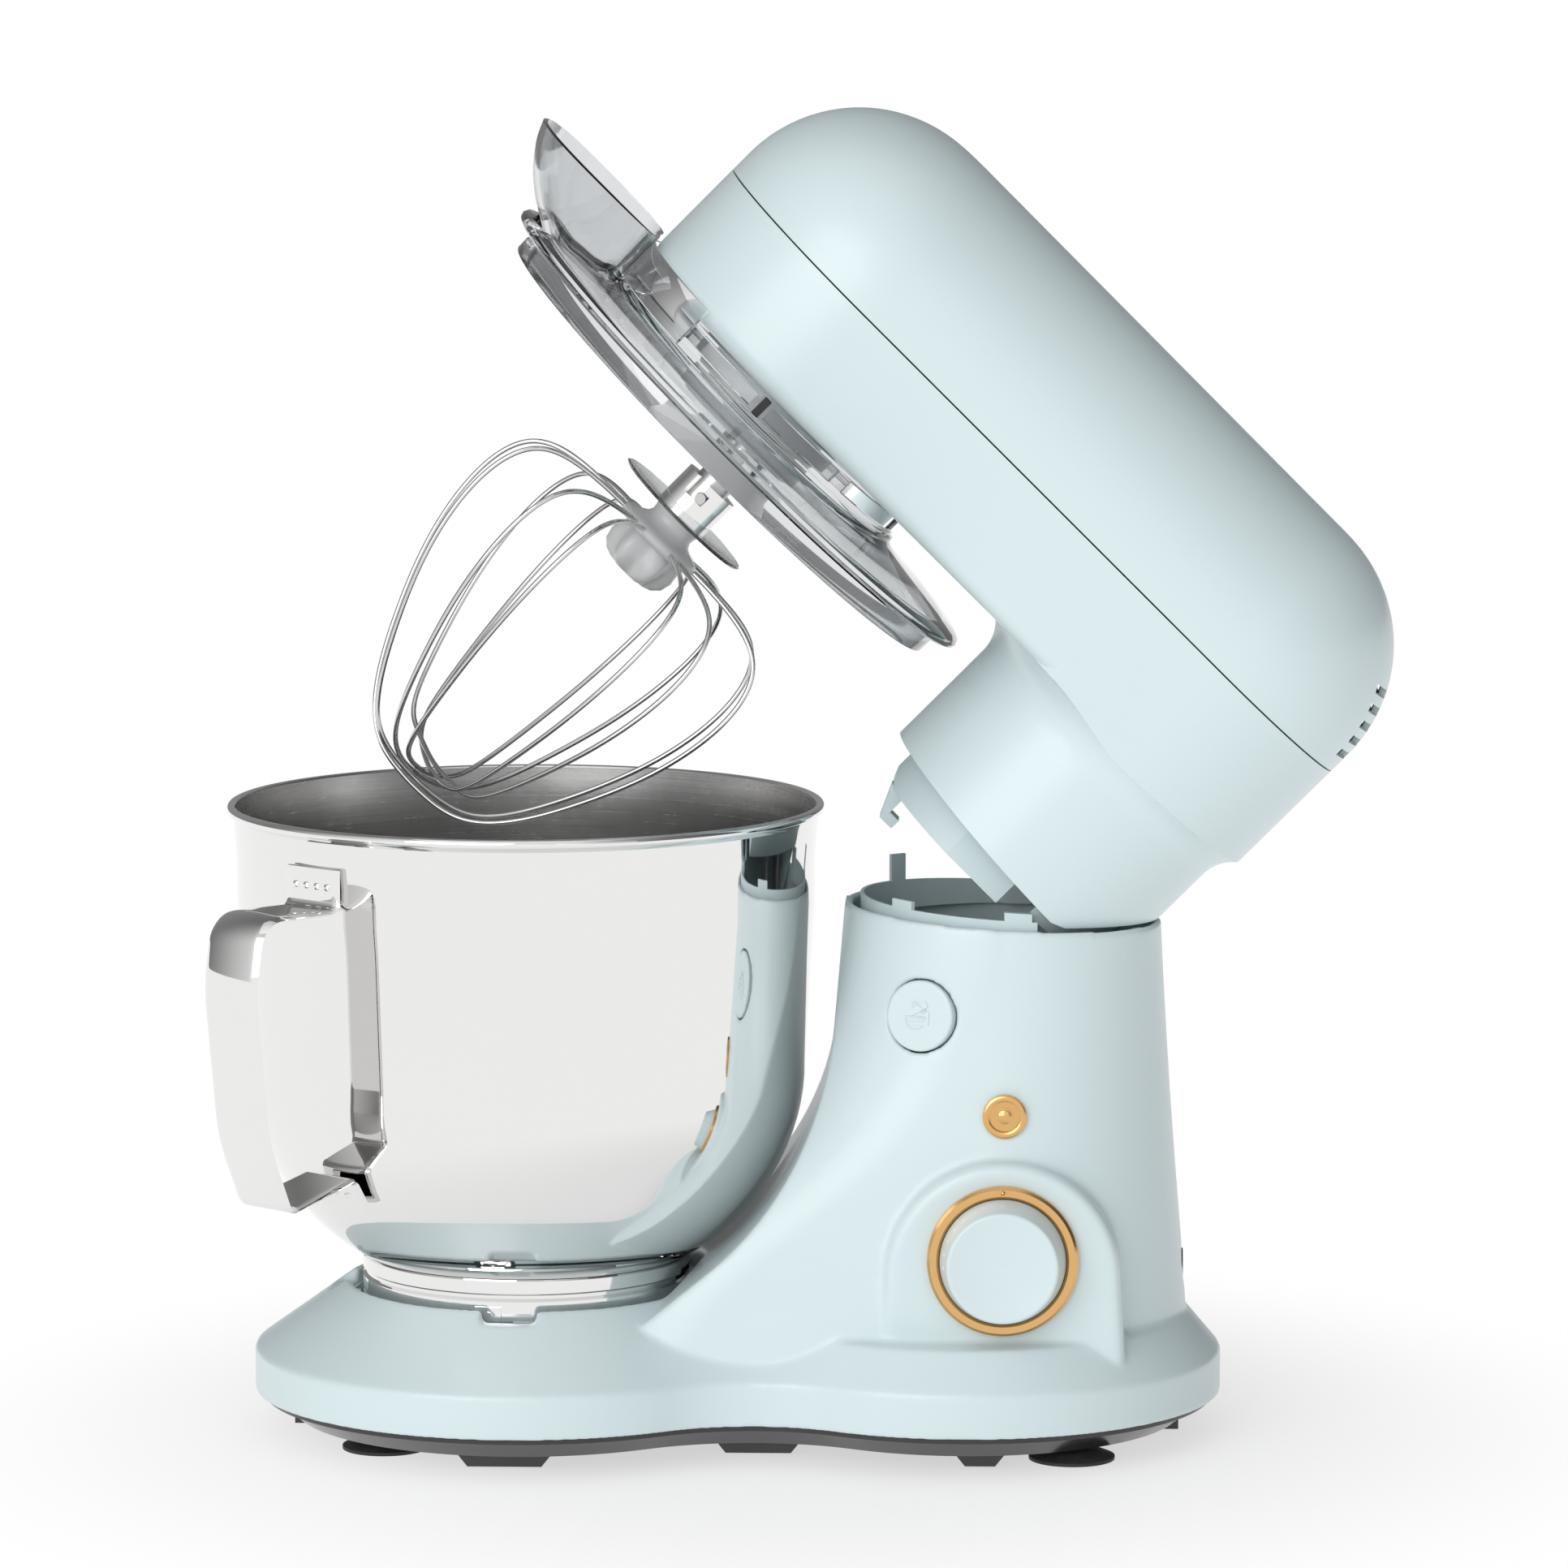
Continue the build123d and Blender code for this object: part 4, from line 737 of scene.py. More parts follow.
    @staticmethod
    def softened(node: str, name: str, voxel: float, rounds: int) -> bpy.types.Mesh:
        """Copy of a CAD node's mesh with every hard edge rounded as a mould rounds it.

        Args:
            node: the CAD node.
            name: the new mesh's name.
            voxel: size of the remesh, in metres.
            rounds: smoothing passes.

        Returns:
            The softened mesh.
        """
        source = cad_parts[node]
        piece = bpy.data.objects.new(name, source.data.copy())
        bpy.context.scene.collection.objects.link(piece)
        remesh = piece.modifiers.new("remesh", "REMESH")
        remesh.mode = "VOXEL"
        remesh.voxel_size = voxel
        remesh.use_smooth_shade = True
        relax = piece.modifiers.new("relax", "SMOOTH")
        relax.factor = 0.5
        relax.iterations = rounds
        mesh = bpy.data.meshes.new_from_object(piece.evaluated_get(bpy.context.evaluated_depsgraph_get()))
        bpy.data.objects.remove(piece)
        mesh.name = name
        mesh.materials.clear()
        mesh.shade_smooth()
        return mesh


# ---------------------------------------------------------------- sub-assemblies
@dataclass
class Stand:
    """Base, column, hinge bracket and the fixed parts inside them."""

    shop: Workshop
    voxel: float = 0.0011
    rounds: int = 6

    def build(self) -> None:
        """Softens the moulded shell and dresses the rest of the stand."""
        shell = Shapes.softened("stand_shell", "stand_moulding", self.voxel, self.rounds)
        self.shop.add("stand_moulding", shell, "stand", SAGE, "body_shell", ("stand_shell",))
        # The column collar and bowl seat take the darker sage: painted shade for where they sit recessed.
        for node in ("column_collar", "bowl_seat"):
            self.shop.dress(node, SAGE_PAINTED_SHADE)
        for node in ("bottom_plate", "edge_feet"):
            self.shop.dress(node, BLACK)
        self.shop.dress("suction_feet", RUBBER)
        for node in ("bottom_screws", "seat_screws", "button_spring", "latch_bolt", "hinge_pin"):
            self.shop.dress(node, STEEL)
        self.shop.dress("hinge_bracket", CAST)
        for node in ("speed_switch", "cord_inlet"):
            self.shop.dress(node, DARK)
        self.shop.dress("control_board", BOARD)
        self.shop.dress("badge", GOLD)


@dataclass
class Controls:
    """Speed knob with its dial ring and numerals, and the tilt button."""

    shop: Workshop
    axis: Vector = field(default_factory=lambda: Vector((0.1775, -0.070, 0.0764)))
    flank_low: tuple[float, float] = (22.9, 4.2)
    flank_high: tuple[float, float] = (20.4, 15.8)
    numeral_height: float = 3.6
    button_turn: float = 247.0
    button_lean: float = 7.0
    icon_line: float = 0.32
    icon_strokes: list[Outline] = field(default_factory=lambda: [
        [(-4.8, -0.6), (-4.6, -3.6), (-2.2, -5.4), (0.6, -5.4), (3.0, -3.6), (3.2, -0.6)],
        [(-5.2, -0.6), (-2.0, -0.6), (0.6, -0.6), (3.6, -0.6)],
        [(3.4, 1.4), (1.0, 3.2), (-1.6, 5.2), (-2.6, 4.4), (-2.0, 2.8), (0.8, 0.8), (3.4, 1.4)],
    ])
    numeral_turns: tuple[float, ...] = (0.0, 28.0, 41.0, 54.0, 67.0, 80.0, 93.0)

    def build(self) -> None:
        """Dresses the knob, its ring and the button, and prints the numerals."""
        self.shop.dress("dial_ring", GOLD)
        self.shop.dress("speed_knob", SAGE)
        self.shop.dress("knob_shaft", STEEL)
        self.shop.dress("tilt_button", SAGE)
        self.numerals()
        self.icon()
        self.badge_ring()

    def icon(self) -> None:
        """Raises a plain pictogram on the button: a bowl, and a lid that swings up over it."""
        turn, lean = math.radians(self.button_turn), math.radians(self.button_lean)
        out = Vector((math.cos(lean) * math.cos(turn), math.cos(lean) * math.sin(turn), math.sin(lean)))
        right = Vector((-math.sin(turn), math.cos(turn), 0.0))
        up = out.cross(right)
        button = bpy.data.objects["tilt_button"]
        corners = [Vector(corner) for corner in button.bound_box]
        middle = sum(corners, Vector()) / len(corners)
        strokes = []
        for stroke in self.icon_strokes:
            points = []
            for u, v in stroke:
                start = middle + (right * u + up * v) * MM + out * 0.05
                hit, place, _, _ = button.ray_cast(start, -out)
                points.append((place if hit else start - out * 0.05) / MM)
            strokes.append(Shapes.wire("stroke", points, self.icon_line, False, Matrix.Identity(4)))
        whole = Shapes.joined("button_icon", strokes)
        self.shop.add("button_icon", whole, "button", SAGE, "body_shell")

    def badge_ring(self) -> None:
        """Turns a raised ring and a centre boss onto the round badge."""
        low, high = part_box("badge")
        outline = [(2.6, 0.0), (2.6, 0.3), (2.2, 0.6), (0.0, 0.75)]
        boss = Shapes.lathe("boss", [(0.0, 0.0), *outline], 64)
        ring = Shapes.lathe("ring", [
            (5.6, 0.0), (7.9, 0.0), (7.9, 0.35), (7.4, 0.7), (6.1, 0.7), (5.6, 0.35), (5.6, 0.0)], 96)
        whole = Shapes.joined("badge_ring", [boss, ring])
        place = Vector(((low[0] + high[0]) / 2, low[1], (low[2] + high[2]) / 2))
        whole.transform(Matrix.Translation(place) @ Matrix.Rotation(math.pi / 2, 4, "X"))
        Shapes.smooth(whole, 40.0)
        self.shop.add("badge_ring", whole, "stand", GOLD, "gold")

    def numerals(self) -> None:
        """Prints 0 to 6 round the knob's sloping flank, as thin raised figures."""
        r0, z0 = self.flank_low
        r1, z1 = self.flank_high
        slope = math.atan2(r0 - r1, z1 - z0)
        meshes = []
        for figure, around in enumerate(self.numeral_turns):
            text = bpy.data.curves.new("figure", "FONT")
            text.body = str(figure)
            text.size = self.numeral_height * MM
            text.align_x, text.align_y = "CENTER", "CENTER"
            text.extrude = 0.00004
            holder = bpy.data.objects.new("figure", text)
            bpy.context.scene.collection.objects.link(holder)
            mesh = bpy.data.meshes.new_from_object(holder.evaluated_get(bpy.context.evaluated_depsgraph_get()))
            bpy.data.objects.remove(holder)
            middle = Matrix.Translation((0.0, (r0 + r1) / 2 * MM, (z0 + z1) / 2 * MM))
            lean = Matrix.Rotation(math.pi / 2 - slope, 4, "X").inverted()
            turn = Matrix.Rotation(math.radians(around), 4, "Z")
            face = Matrix.Rotation(math.pi / 2, 4, "X")
            mesh.transform(Matrix.Translation(self.axis) @ face @ turn @ middle @ lean)
            meshes.append(mesh)
        whole = Shapes.joined("knob_figures", meshes)
        self.shop.add("knob_figures", whole, "knob", INK, "body_shell")


@dataclass
class Bowl:
    """Spun steel bowl, its foot ring and lugs, and the bent side handle."""

    shop: Workshop
    wall_r: float = 107.2
    sheet: float = 1.1
    rim_z: float = 235.0
    bead: float = 1.8
    bend_x: float = 20.8
    bend_z: float = 139.0
    bend_r: float = 83.0
    handle_angle: float = 229.0
    handle_width: float = 27.5
    handle_sheet: float = 2.2
    crown: float = 1.5
    turns: int = 288

    def build(self) -> None:
        """Builds the bowl's shell and handle and dresses the foot."""
        self.shell()
        self.handle()
        for node in ("bowl_foot", "bowl_lugs"):
            self.shop.dress(node, CHROME)
        self.shop.dress("seat_pad", RUBBER)

    def profile(self, inset: float) -> Outline:
        """Half section of the bowl from its middle to its rim, drawn in by an inset.

        Args:
            inset: how far the section is drawn in, in millimetres.

        Returns:
            Radius and height of each point.
        """
        radius = self.bend_r - inset
        points = [(0.0, self.bend_z - radius), (self.bend_x * 0.5, self.bend_z - radius)]
        for k in range(25):
            angle = -math.pi / 2 + math.pi / 2 * k / 24
            points.append((self.bend_x + radius * math.cos(angle), self.bend_z + radius * math.sin(angle)))
        points += [(self.wall_r - inset, 200.0), (self.wall_r - inset, 214.0)]
        points.append((self.wall_r + 1.2 - inset, self.rim_z - self.bead - 3.0))
        return points

    def shell(self) -> None:
        """Turns the shell, polished outside and brushed inside."""
        outer, inner = self.profile(0.0), self.profile(self.sheet)
        top = self.rim_z - self.bead
        rim = [
            (self.wall_r + 1.9 + self.bead * math.cos(a), top + self.bead * math.sin(a))
            for a in (math.radians(-70 + 220 * k / 16) for k in range(17))
        ]
        mesh = Shapes.lathe("bowl_shell", outer + rim + inner[::-1], self.turns)
        for wanted in (CHROME, TURNED):
            mesh.materials.append(self.shop.finish(wanted))
        for face in mesh.polygons:
            middle = face.center
            radius = math.hypot(middle.x, middle.y) / MM
            height = middle.z / MM
            outward = face.normal.x * middle.x + face.normal.y * middle.y
            inside = height < top - 1 and (outward < 0 or (radius < 60 and face.normal.z > 0))
            face.material_index = 1 if inside else 0
        self.shop.add("bowl_shell", mesh, "bowl_unit", CHROME, "chrome", ("bowl",))

    def outside(self, z: float) -> float:
        """Outer radius of the bowl at a height.

        Args:
            z: height in millimetres.

        Returns:
            The radius in millimetres.
        """
        if z >= self.bend_z:
            top = self.bend_x + self.bend_r
            return top + (self.wall_r - top) * min(1.0, (z - self.bend_z) / 61)
        return self.bend_x + math.sqrt(self.bend_r**2 - (self.bend_z - z) ** 2)

    def handle(self) -> None:
        """Sweeps the crowned strip of the handle and sets its weld spots."""
        off = self.handle_sheet / 2 + 0.3
        top, low = 207.0, 98.0
        outer = 151.0 - self.handle_sheet / 2
        corners = [
            (self.outside(top) + off, top + 14), (self.outside(top) + off, top - 1.1), (outer - 4, top - 1.1),
            (outer, top - 26), (outer - 6, low + 28), (outer - 17, low + 1.1),
            (self.outside(low + 9) + off + 2.4, low + 9), (self.outside(low - 3) + off + 1.2, low - 3),
        ]
        path = Shapes.rounded(corners, [3.5, 11, 60, 60, 5, 2.5], 14)
        mesh = self.strip(path)
        spots = [self.spot(self.outside(top) + 2 * off, y, 214.5, 90.0) for y in (-8, -2.7, 2.7, 8)]
        low_r = self.outside(low + 3) + 2 * off + 1.6
        spots += [self.spot(low_r, y, low + 3, 62.0) for y in (-6, 0, 6)]
        whole = Shapes.joined("handle_strip", [mesh, *spots])
        Shapes.smooth(whole, 40.0)
        whole.transform(Matrix.Rotation(math.radians(self.handle_angle), 4, "Z"))
        self.shop.add("handle_strip", whole, "bowl_unit", CHROME, "chrome", ("bowl_handle",))

    def strip(self, path: Outline) -> bpy.types.Mesh:
        """Sheet strip along a path in the XZ plane, with rounded edges and a crowned grip.

        Args:
            path: distance out and height of each point of the strip's middle.

        Returns:
            The mesh.
        """
        half, thick = self.handle_width / 2, self.handle_sheet / 2
        across = 16
        points, faces = [], []
        lines = [Vector((p[0], 0.0, p[1])) for p in path]
        for n, here in enumerate(lines):
            along = (lines[min(n + 1, len(lines) - 1)] - lines[max(n - 1, 0)]).normalized()
            out = Vector((along.z, 0.0, -along.x)) * -1
            grip = max(0.0, min(1.0, (here.x - 128) / 10)) * max(0.0, min(1.0, (here.z - 104) / 12))
            ring = []
            for k in range(across + 1):
                t = -1 + 2 * k / across
                edge = math.sqrt(max(0.0, 1 - abs(t) ** 14))
                lift = self.crown * grip * (1 - t * t)
                ring.append((t * half, lift + thick * edge))
            for k in range(across, -1, -1):
                t = -1 + 2 * k / across
                edge = math.sqrt(max(0.0, 1 - abs(t) ** 14))
                lift = self.crown * grip * (1 - t * t)
                ring.append((t * half, lift - thick * edge - 0.001))
            for y, lift in ring:
                points.append((here + out * lift + Vector((0.0, y, 0.0))) * MM)
            size = len(ring)
            if n:
                for k in range(size):
                    m = (k + 1) % size
                    faces.append(((n - 1) * size + k, (n - 1) * size + m, n * size + m, n * size + k))
        faces.append(tuple(range(size))[::-1])
        faces.append(tuple(range((len(lines) - 1) * size, len(lines) * size)))
        mesh = bpy.data.meshes.new("strip")
        mesh.from_pydata(points, [], faces)
        tidy = bmesh.new()
        tidy.from_mesh(mesh)
        bmesh.ops.recalc_face_normals(tidy, faces=tidy.faces)
        tidy.to_mesh(mesh)
        tidy.free()
        return mesh

    @staticmethod
    def spot(radius: float, y: float, z: float, lean: float) -> bpy.types.Mesh:
        """Small domed weld spot on a flange.

        Args:
            radius: distance from the bowl's axis.
            y: place across the flange.
            z: height.
            lean: tilt of the flange in degrees.

        Returns:
            The mesh.
        """
        mesh = Shapes.lathe("spot", [(0.0, -0.3), (1.25, -0.3), (1.25, 0.0), (0.9, 0.3), (0.4, 0.45), (0.0, 0.5)], 24)
        mesh.transform(Matrix.Translation((radius * MM, y * MM, z * MM)) @ Matrix.Rotation(math.radians(lean), 4, "Y"))
        return mesh


@dataclass
class Head:
    """Two housings that meet at the seam, the neck, and the frame and motor inside."""

    shop: Workshop

    def build(self) -> None:
        """Dresses the housings and everything that the head holds."""
        for node in ("upper_housing", "lower_housing"):
            self.shop.dress(node, SAGE)
            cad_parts[node].data.shade_smooth()
            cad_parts[node].data.set_sharp_from_angle(angle=math.radians(30))
        # The neck and latch take the darker sage: painted shade for the joint between head and column.
        for node in ("neck_sleeve", "neck_plug", "latch_hook"):
            self.shop.dress(node, SAGE_PAINTED_SHADE)
        self.shop.dress("head_frame", CAST)
        self.shop.dress("frame_screws", STEEL)
        for node in ("hinge_bushes", "shaft_bearings"):
            self.shop.dress(node, BRONZE)


@dataclass
class Drive:
    """Motor, belt and gears."""

    shop: Workshop

    def build(self) -> None:
        """Dresses the drive train."""
        finishes: dict[Finish, tuple[str, ...]] = {
            LAMINATION: ("motor_stator", "motor_rotor"),
            COPPER: ("field_coils", "commutator"),
            DARK: ("motor_cage", "cooling_fan"),
            CARBON: ("carbon_brushes",),
            RUBBER: ("drive_belt",),
            ACETAL: ("drive_gear", "large_pulley"),
            GREY: ("planet_carrier",),
            STEEL: ("ring_gear", "motor_shaft", "motor_pulley", "layshaft", "layshaft_pinion", "planet_gear",
                    "planet_shaft", "bayonet_pin"),
        }
        for wanted, nodes in finishes.items():
            for node in nodes:
                self.shop.dress(node, wanted)


@dataclass
class Shield:
    """Clear splash shield with its stepped collar and the flared pouring chute, modelled level."""

    shop: Workshop
    turns: int = 192
    pads: int = 10
    pad_turn: float = 30.0
    slot_angle: float = -91.5
    sheet: float = 1.8
    outline: Outline = field(default_factory=lambda: [
        (102.8, 227.3), (104.5, 227.3), (104.8, 227.8), (104.8, 236.0), (111.0, 236.0), (112.2, 236.8),
        (112.5, 238.0), (111.8, 239.4), (109.5, 240.3), (100.0, 241.3), (85.0, 243.2), (74.5, 244.9),
        (70.0, 246.2), (68.4, 247.4), (68.2, 249.0), (66.8, 249.7), (66.4, 250.8), (66.4, 257.4), (65.8, 258.3),
        (63.8, 258.3), (63.2, 257.6), (63.2, 247.4), (64.8, 245.0), (70.0, 243.0), (85.0, 241.2), (100.0, 239.2),
        (102.8, 238.2),
    ])
    levels: Outline = field(default_factory=lambda: [
        (234.6, 98.0), (238.0, 101.5), (241.0, 106.0), (245.6, 113.5), (252.0, 121.0), (260.0, 127.4), (267.4, 131.0),
    ])
    halves: tuple[float, ...] = (24.0, 25.0, 26.2, 28.0, 31.0, 34.0, 37.0)
    hug_r: float = 70.8
    wing_turn: float = 56.0

    def build(self) -> None:
        """Builds the shield, its collar pads and the chute."""
        self.shield()
        self.chute()

    def sector(self, inner: float, outer: float, low: float, high: float, start: float, end: float
               ) -> bpy.types.Mesh:
        """Block between two radii, two heights and two angles, with eased edges.

        Args:
            inner: inner radius.
            outer: outer radius.
            low: lowest height.
            high: highest height.
            start: first angle in degrees.
            end: last angle in degrees.

        Returns:
            The mesh.
        """
        steps = max(3, round((end - start) / 3))
        ease = min(0.5, (outer - inner) * 0.4)
        section = [(inner, low + ease), (inner + ease, low), (outer - ease, low), (outer, low + ease),
                   (outer, high - ease), (outer - ease, high), (inner + ease, high), (inner, high - ease)]
        points, faces, size = [], [], len(section)
        for k in range(steps + 1):
            angle = math.radians(start + (end - start) * k / steps)
            for r, z in section:
                points.append((r * math.cos(angle) * MM, r * math.sin(angle) * MM, z * MM))
            for i in range(size if k else 0):
                j = (i + 1) % size
                faces.append(((k - 1) * size + i, (k - 1) * size + j, k * size + j, k * size + i))
        faces += [tuple(range(size))[::-1], tuple(range(steps * size, steps * size + size))]
        mesh = bpy.data.meshes.new("sector")
        mesh.from_pydata(points, [], faces)
        return mesh

    def shield(self) -> None:
        """Turns the shield, cuts the chute's place and sets the collar's pads and slot."""
        body = Shapes.lathe("shield_clear", self.outline, self.turns)
        cut = self.prism(-107.9, -69.6, 28.2, 232.0, 262.0)
        body = Shapes.trimmed(body, cut)
        body.transform(RAISED)
        Shapes.smooth(body)
        self.shop.add("shield_clear", body, "head", SMOKE, "smoke_clear", ("splash_shield",))
        pads = []
        for k in range(self.pads):
            start = self.slot_angle + 2.5 + 360 * k / self.pads
            if 123 < (start + 16) % 360 < 237:
                continue
            pads.append(self.sector(66.6, 67.6, 251.4, 257.2, start, start + self.pad_turn))
        whole = Shapes.joined("collar_pads", pads)
        whole.transform(RAISED)
        Shapes.smooth(whole)
        self.shop.add("collar_pads", whole, "head", SMOKE, "smoke_clear")
        # The slot is a near-black block in the collar wall: painted shade where the collar has an open gap.
        slot = self.sector(66.5, 67.5, 250.2, 258.0, self.slot_angle - 1.3, self.slot_angle + 1.3)
        slot.transform(RAISED)
        self.shop.add("collar_slot_painted_shade", slot, "head", SLOT_PAINTED_SHADE, "dark_plastic")

    @staticmethod
    def prism(x0: float, x1: float, half: float, low: float, high: float, corner: float = 8.0) -> bpy.types.Mesh:
        """Upright prism on a rounded rectangle.

        Args:
            x0: lowest X.
            x1: highest X.
            half: half width in Y.
            low: lowest height.
            high: highest height.
            corner: radius of the upright corners.

        Returns:
            The mesh.
        """
        points, faces = [], []
        ring = []
        for cx, cy, start in ((x1 - corner, half - corner, 0), (x0 + corner, half - corner, 90),
                              (x0 + corner, corner - half, 180), (x1 - corner, corner - half, 270)):
            for k in range(9):
                angle = math.radians(start + 90 * k / 8)
                ring.append((cx + corner * math.cos(angle), cy + corner * math.sin(angle)))
        size = len(ring)
        for z in (low, high):
            points += [(x * MM, y * MM, z * MM) for x, y in ring]
        faces = [(i, (i + 1) % size, size + (i + 1) % size, size + i) for i in range(size)]
        faces += [tuple(range(size))[::-1], tuple(range(size, 2 * size))]
        mesh = bpy.data.meshes.new("prism")
        mesh.from_pydata(points, [], faces)
        return mesh

    def section(self, level: int, count: int = 96) -> list[Vector]:
        """Closed section of the chute at one of its levels, in millimetres.

        Args:
            level: which level.
            count: how many points go round.

        Returns:
            The points.
        """
        z, far = self.levels[level]
        half = self.halves[level]
        power = 3.4 - 0.13 * level
        hug = max(0.0, min(1.0, (z - 243.0) / 5.0))
        near = 70.4
        ring = []
        for k in range(count):
            angle = 2 * math.pi * k / count
            c, s = math.cos(angle), math.sin(angle)
            reach = (abs(c) ** power + abs(s) ** power) ** (-1 / power)
            y = half * s * reach
            depth = c * reach
            back = -math.sqrt(max(self.hug_r**2 - y * y, 1.0))
            inner = -near * (1 - hug) + back * hug
            middle = (-far - near) / 2
            x = middle + (middle + far) * depth if depth < 0 else middle + (inner - middle) * depth
            ring.append(Vector((x, y, z)))
        return ring

    def chute(self) -> None:
        """Lofts the chute's flared wall, thickens it, and adds the wings that hug the collar."""
        points, faces, size = [], [], 96
        fine = 5
        rings = [self.section(n) for n in range(len(self.levels))]
        between = []
        for n in range(len(rings) - 1):
            before, after = rings[max(n - 1, 0)], rings[min(n + 2, len(rings) - 1)]
            for f in range(fine):
                t = f / fine
                between.append([
                    0.5 * (2 * b + (c - a) * t + (2 * a - 5 * b + 4 * c - d) * t * t
                           + (3 * b - a - 3 * c + d) * t**3)
                    for a, b, c, d in zip(before, rings[n], rings[n + 1], after)
                ])
        between.append(rings[-1])
        for n, ring in enumerate(between):
            points += [p * MM for p in ring]
            for i in range(size if n else 0):
                j = (i + 1) % size
                faces.append(((n - 1) * size + i, (n - 1) * size + j, n * size + j, n * size + i))
        mesh = bpy.data.meshes.new("chute_clear")
        mesh.from_pydata(points, [], faces)
        mesh = Shapes.thickened(mesh, self.sheet)
        wing = self.sector(69.7, 71.3, 248.0, 264.6, 180 - self.wing_turn, 180 + self.wing_turn)
        whole = Shapes.joined("chute_clear", [mesh, wing])
        whole.transform(RAISED)
        Shapes.smooth(whole, 50.0)
        self.shop.add("chute_clear", whole, "head", SMOKE, "smoke_clear", ("pour_chute",))


@dataclass
class Whisk:
    """Socket, splash disc, hub and the wire loops."""

    shop: Workshop
    loops: int = 6
    wire_r: float = 0.95
    tip_z: float = 60.8
    tip_step: float = 2.3
    wide: float = 63.5
    pair_turn: float = 5.0
    fan_turn: float = 5.0

    def build(self) -> None:
        """Bends the wires and dresses the hub."""
        place = RAISED @ Matrix.Translation(PLANET)
        wires = []
        for k in range(self.loops):
            wide = self.wide - 2.2 * (k % 2)
            tip = self.tip_z + self.tip_step * k - 1.0
            half = [(9.0, 189.0, 0.0), (20.0, 189.5, 0.3), (44.0, 189.5, 0.8), (wide - 1, 181.5, 1.0),
                    (wide + 3.5, 158.0, 1.0), (wide - 2, 128.0, 0.9), (wide - 14, 100.0, 0.7),
                    (wide - 27, 76.0, 0.4), (22.0, tip + 2.0, 0.1), (5.0, tip, 0.0)]
            side = 1 if k % 2 else -1
            line = [(r, z, self.pair_turn + self.fan_turn * f) for r, z, f in half]
            line += [(-r, z, turn) for r, z, turn in reversed(line)]
            points = [
                Vector((r * math.cos(math.radians(side * turn)), r * math.sin(math.radians(side * turn)), z))
                for r, z, turn in line
            ]
            lean = Matrix.Rotation(math.radians(60 * (k // 2)), 4, "Z")
            wires.append(Shapes.wire("loop", points, self.wire_r, False, place @ lean))
        whole = Shapes.joined("wire_loops", wires)
        self.shop.add("wire_loops", whole, "whisk", WIRE, "chrome", ("whisk_wires",))
        whole.shade_smooth()
        self.shop.dress("whisk_socket", CHROME)
        self.shop.dress("whisk_guard", GUARD)
        self.hub(place)

    def hub(self, place: Matrix) -> None:
        """Turns the waisted neck and flange and moulds the lobed plug under them.

        Args:
            place: where the whisk's own axis stands.
        """
        neck = Shapes.lathe("neck", [
            (0.0, 199.4), (10.2, 199.4), (9.6, 197.8), (9.4, 195.8), (10.4, 194.0), (13.0, 192.4), (16.6, 191.4),
            (18.0, 190.2), (18.2, 188.6), (17.4, 187.4), (15.4, 186.8), (0.0, 186.8)], 96)
        plug = Shapes.lobed("plug", [
            (187.2, 12.2, 0.6), (184.0, 13.2, 1.3), (180.0, 13.4, 1.7), (176.0, 12.2, 1.9), (173.4, 10.0, 1.5),
            (172.3, 7.6, 0.9), (172.0, 5.2, 0.2)], 6, 96)
        whole = Shapes.joined("hub_moulding", [neck, plug])
        whole.transform(place)
        Shapes.smooth(whole, 45.0)
        self.shop.add("hub_moulding", whole, "whisk", GREY, "hub_gray", ("whisk_hub",))


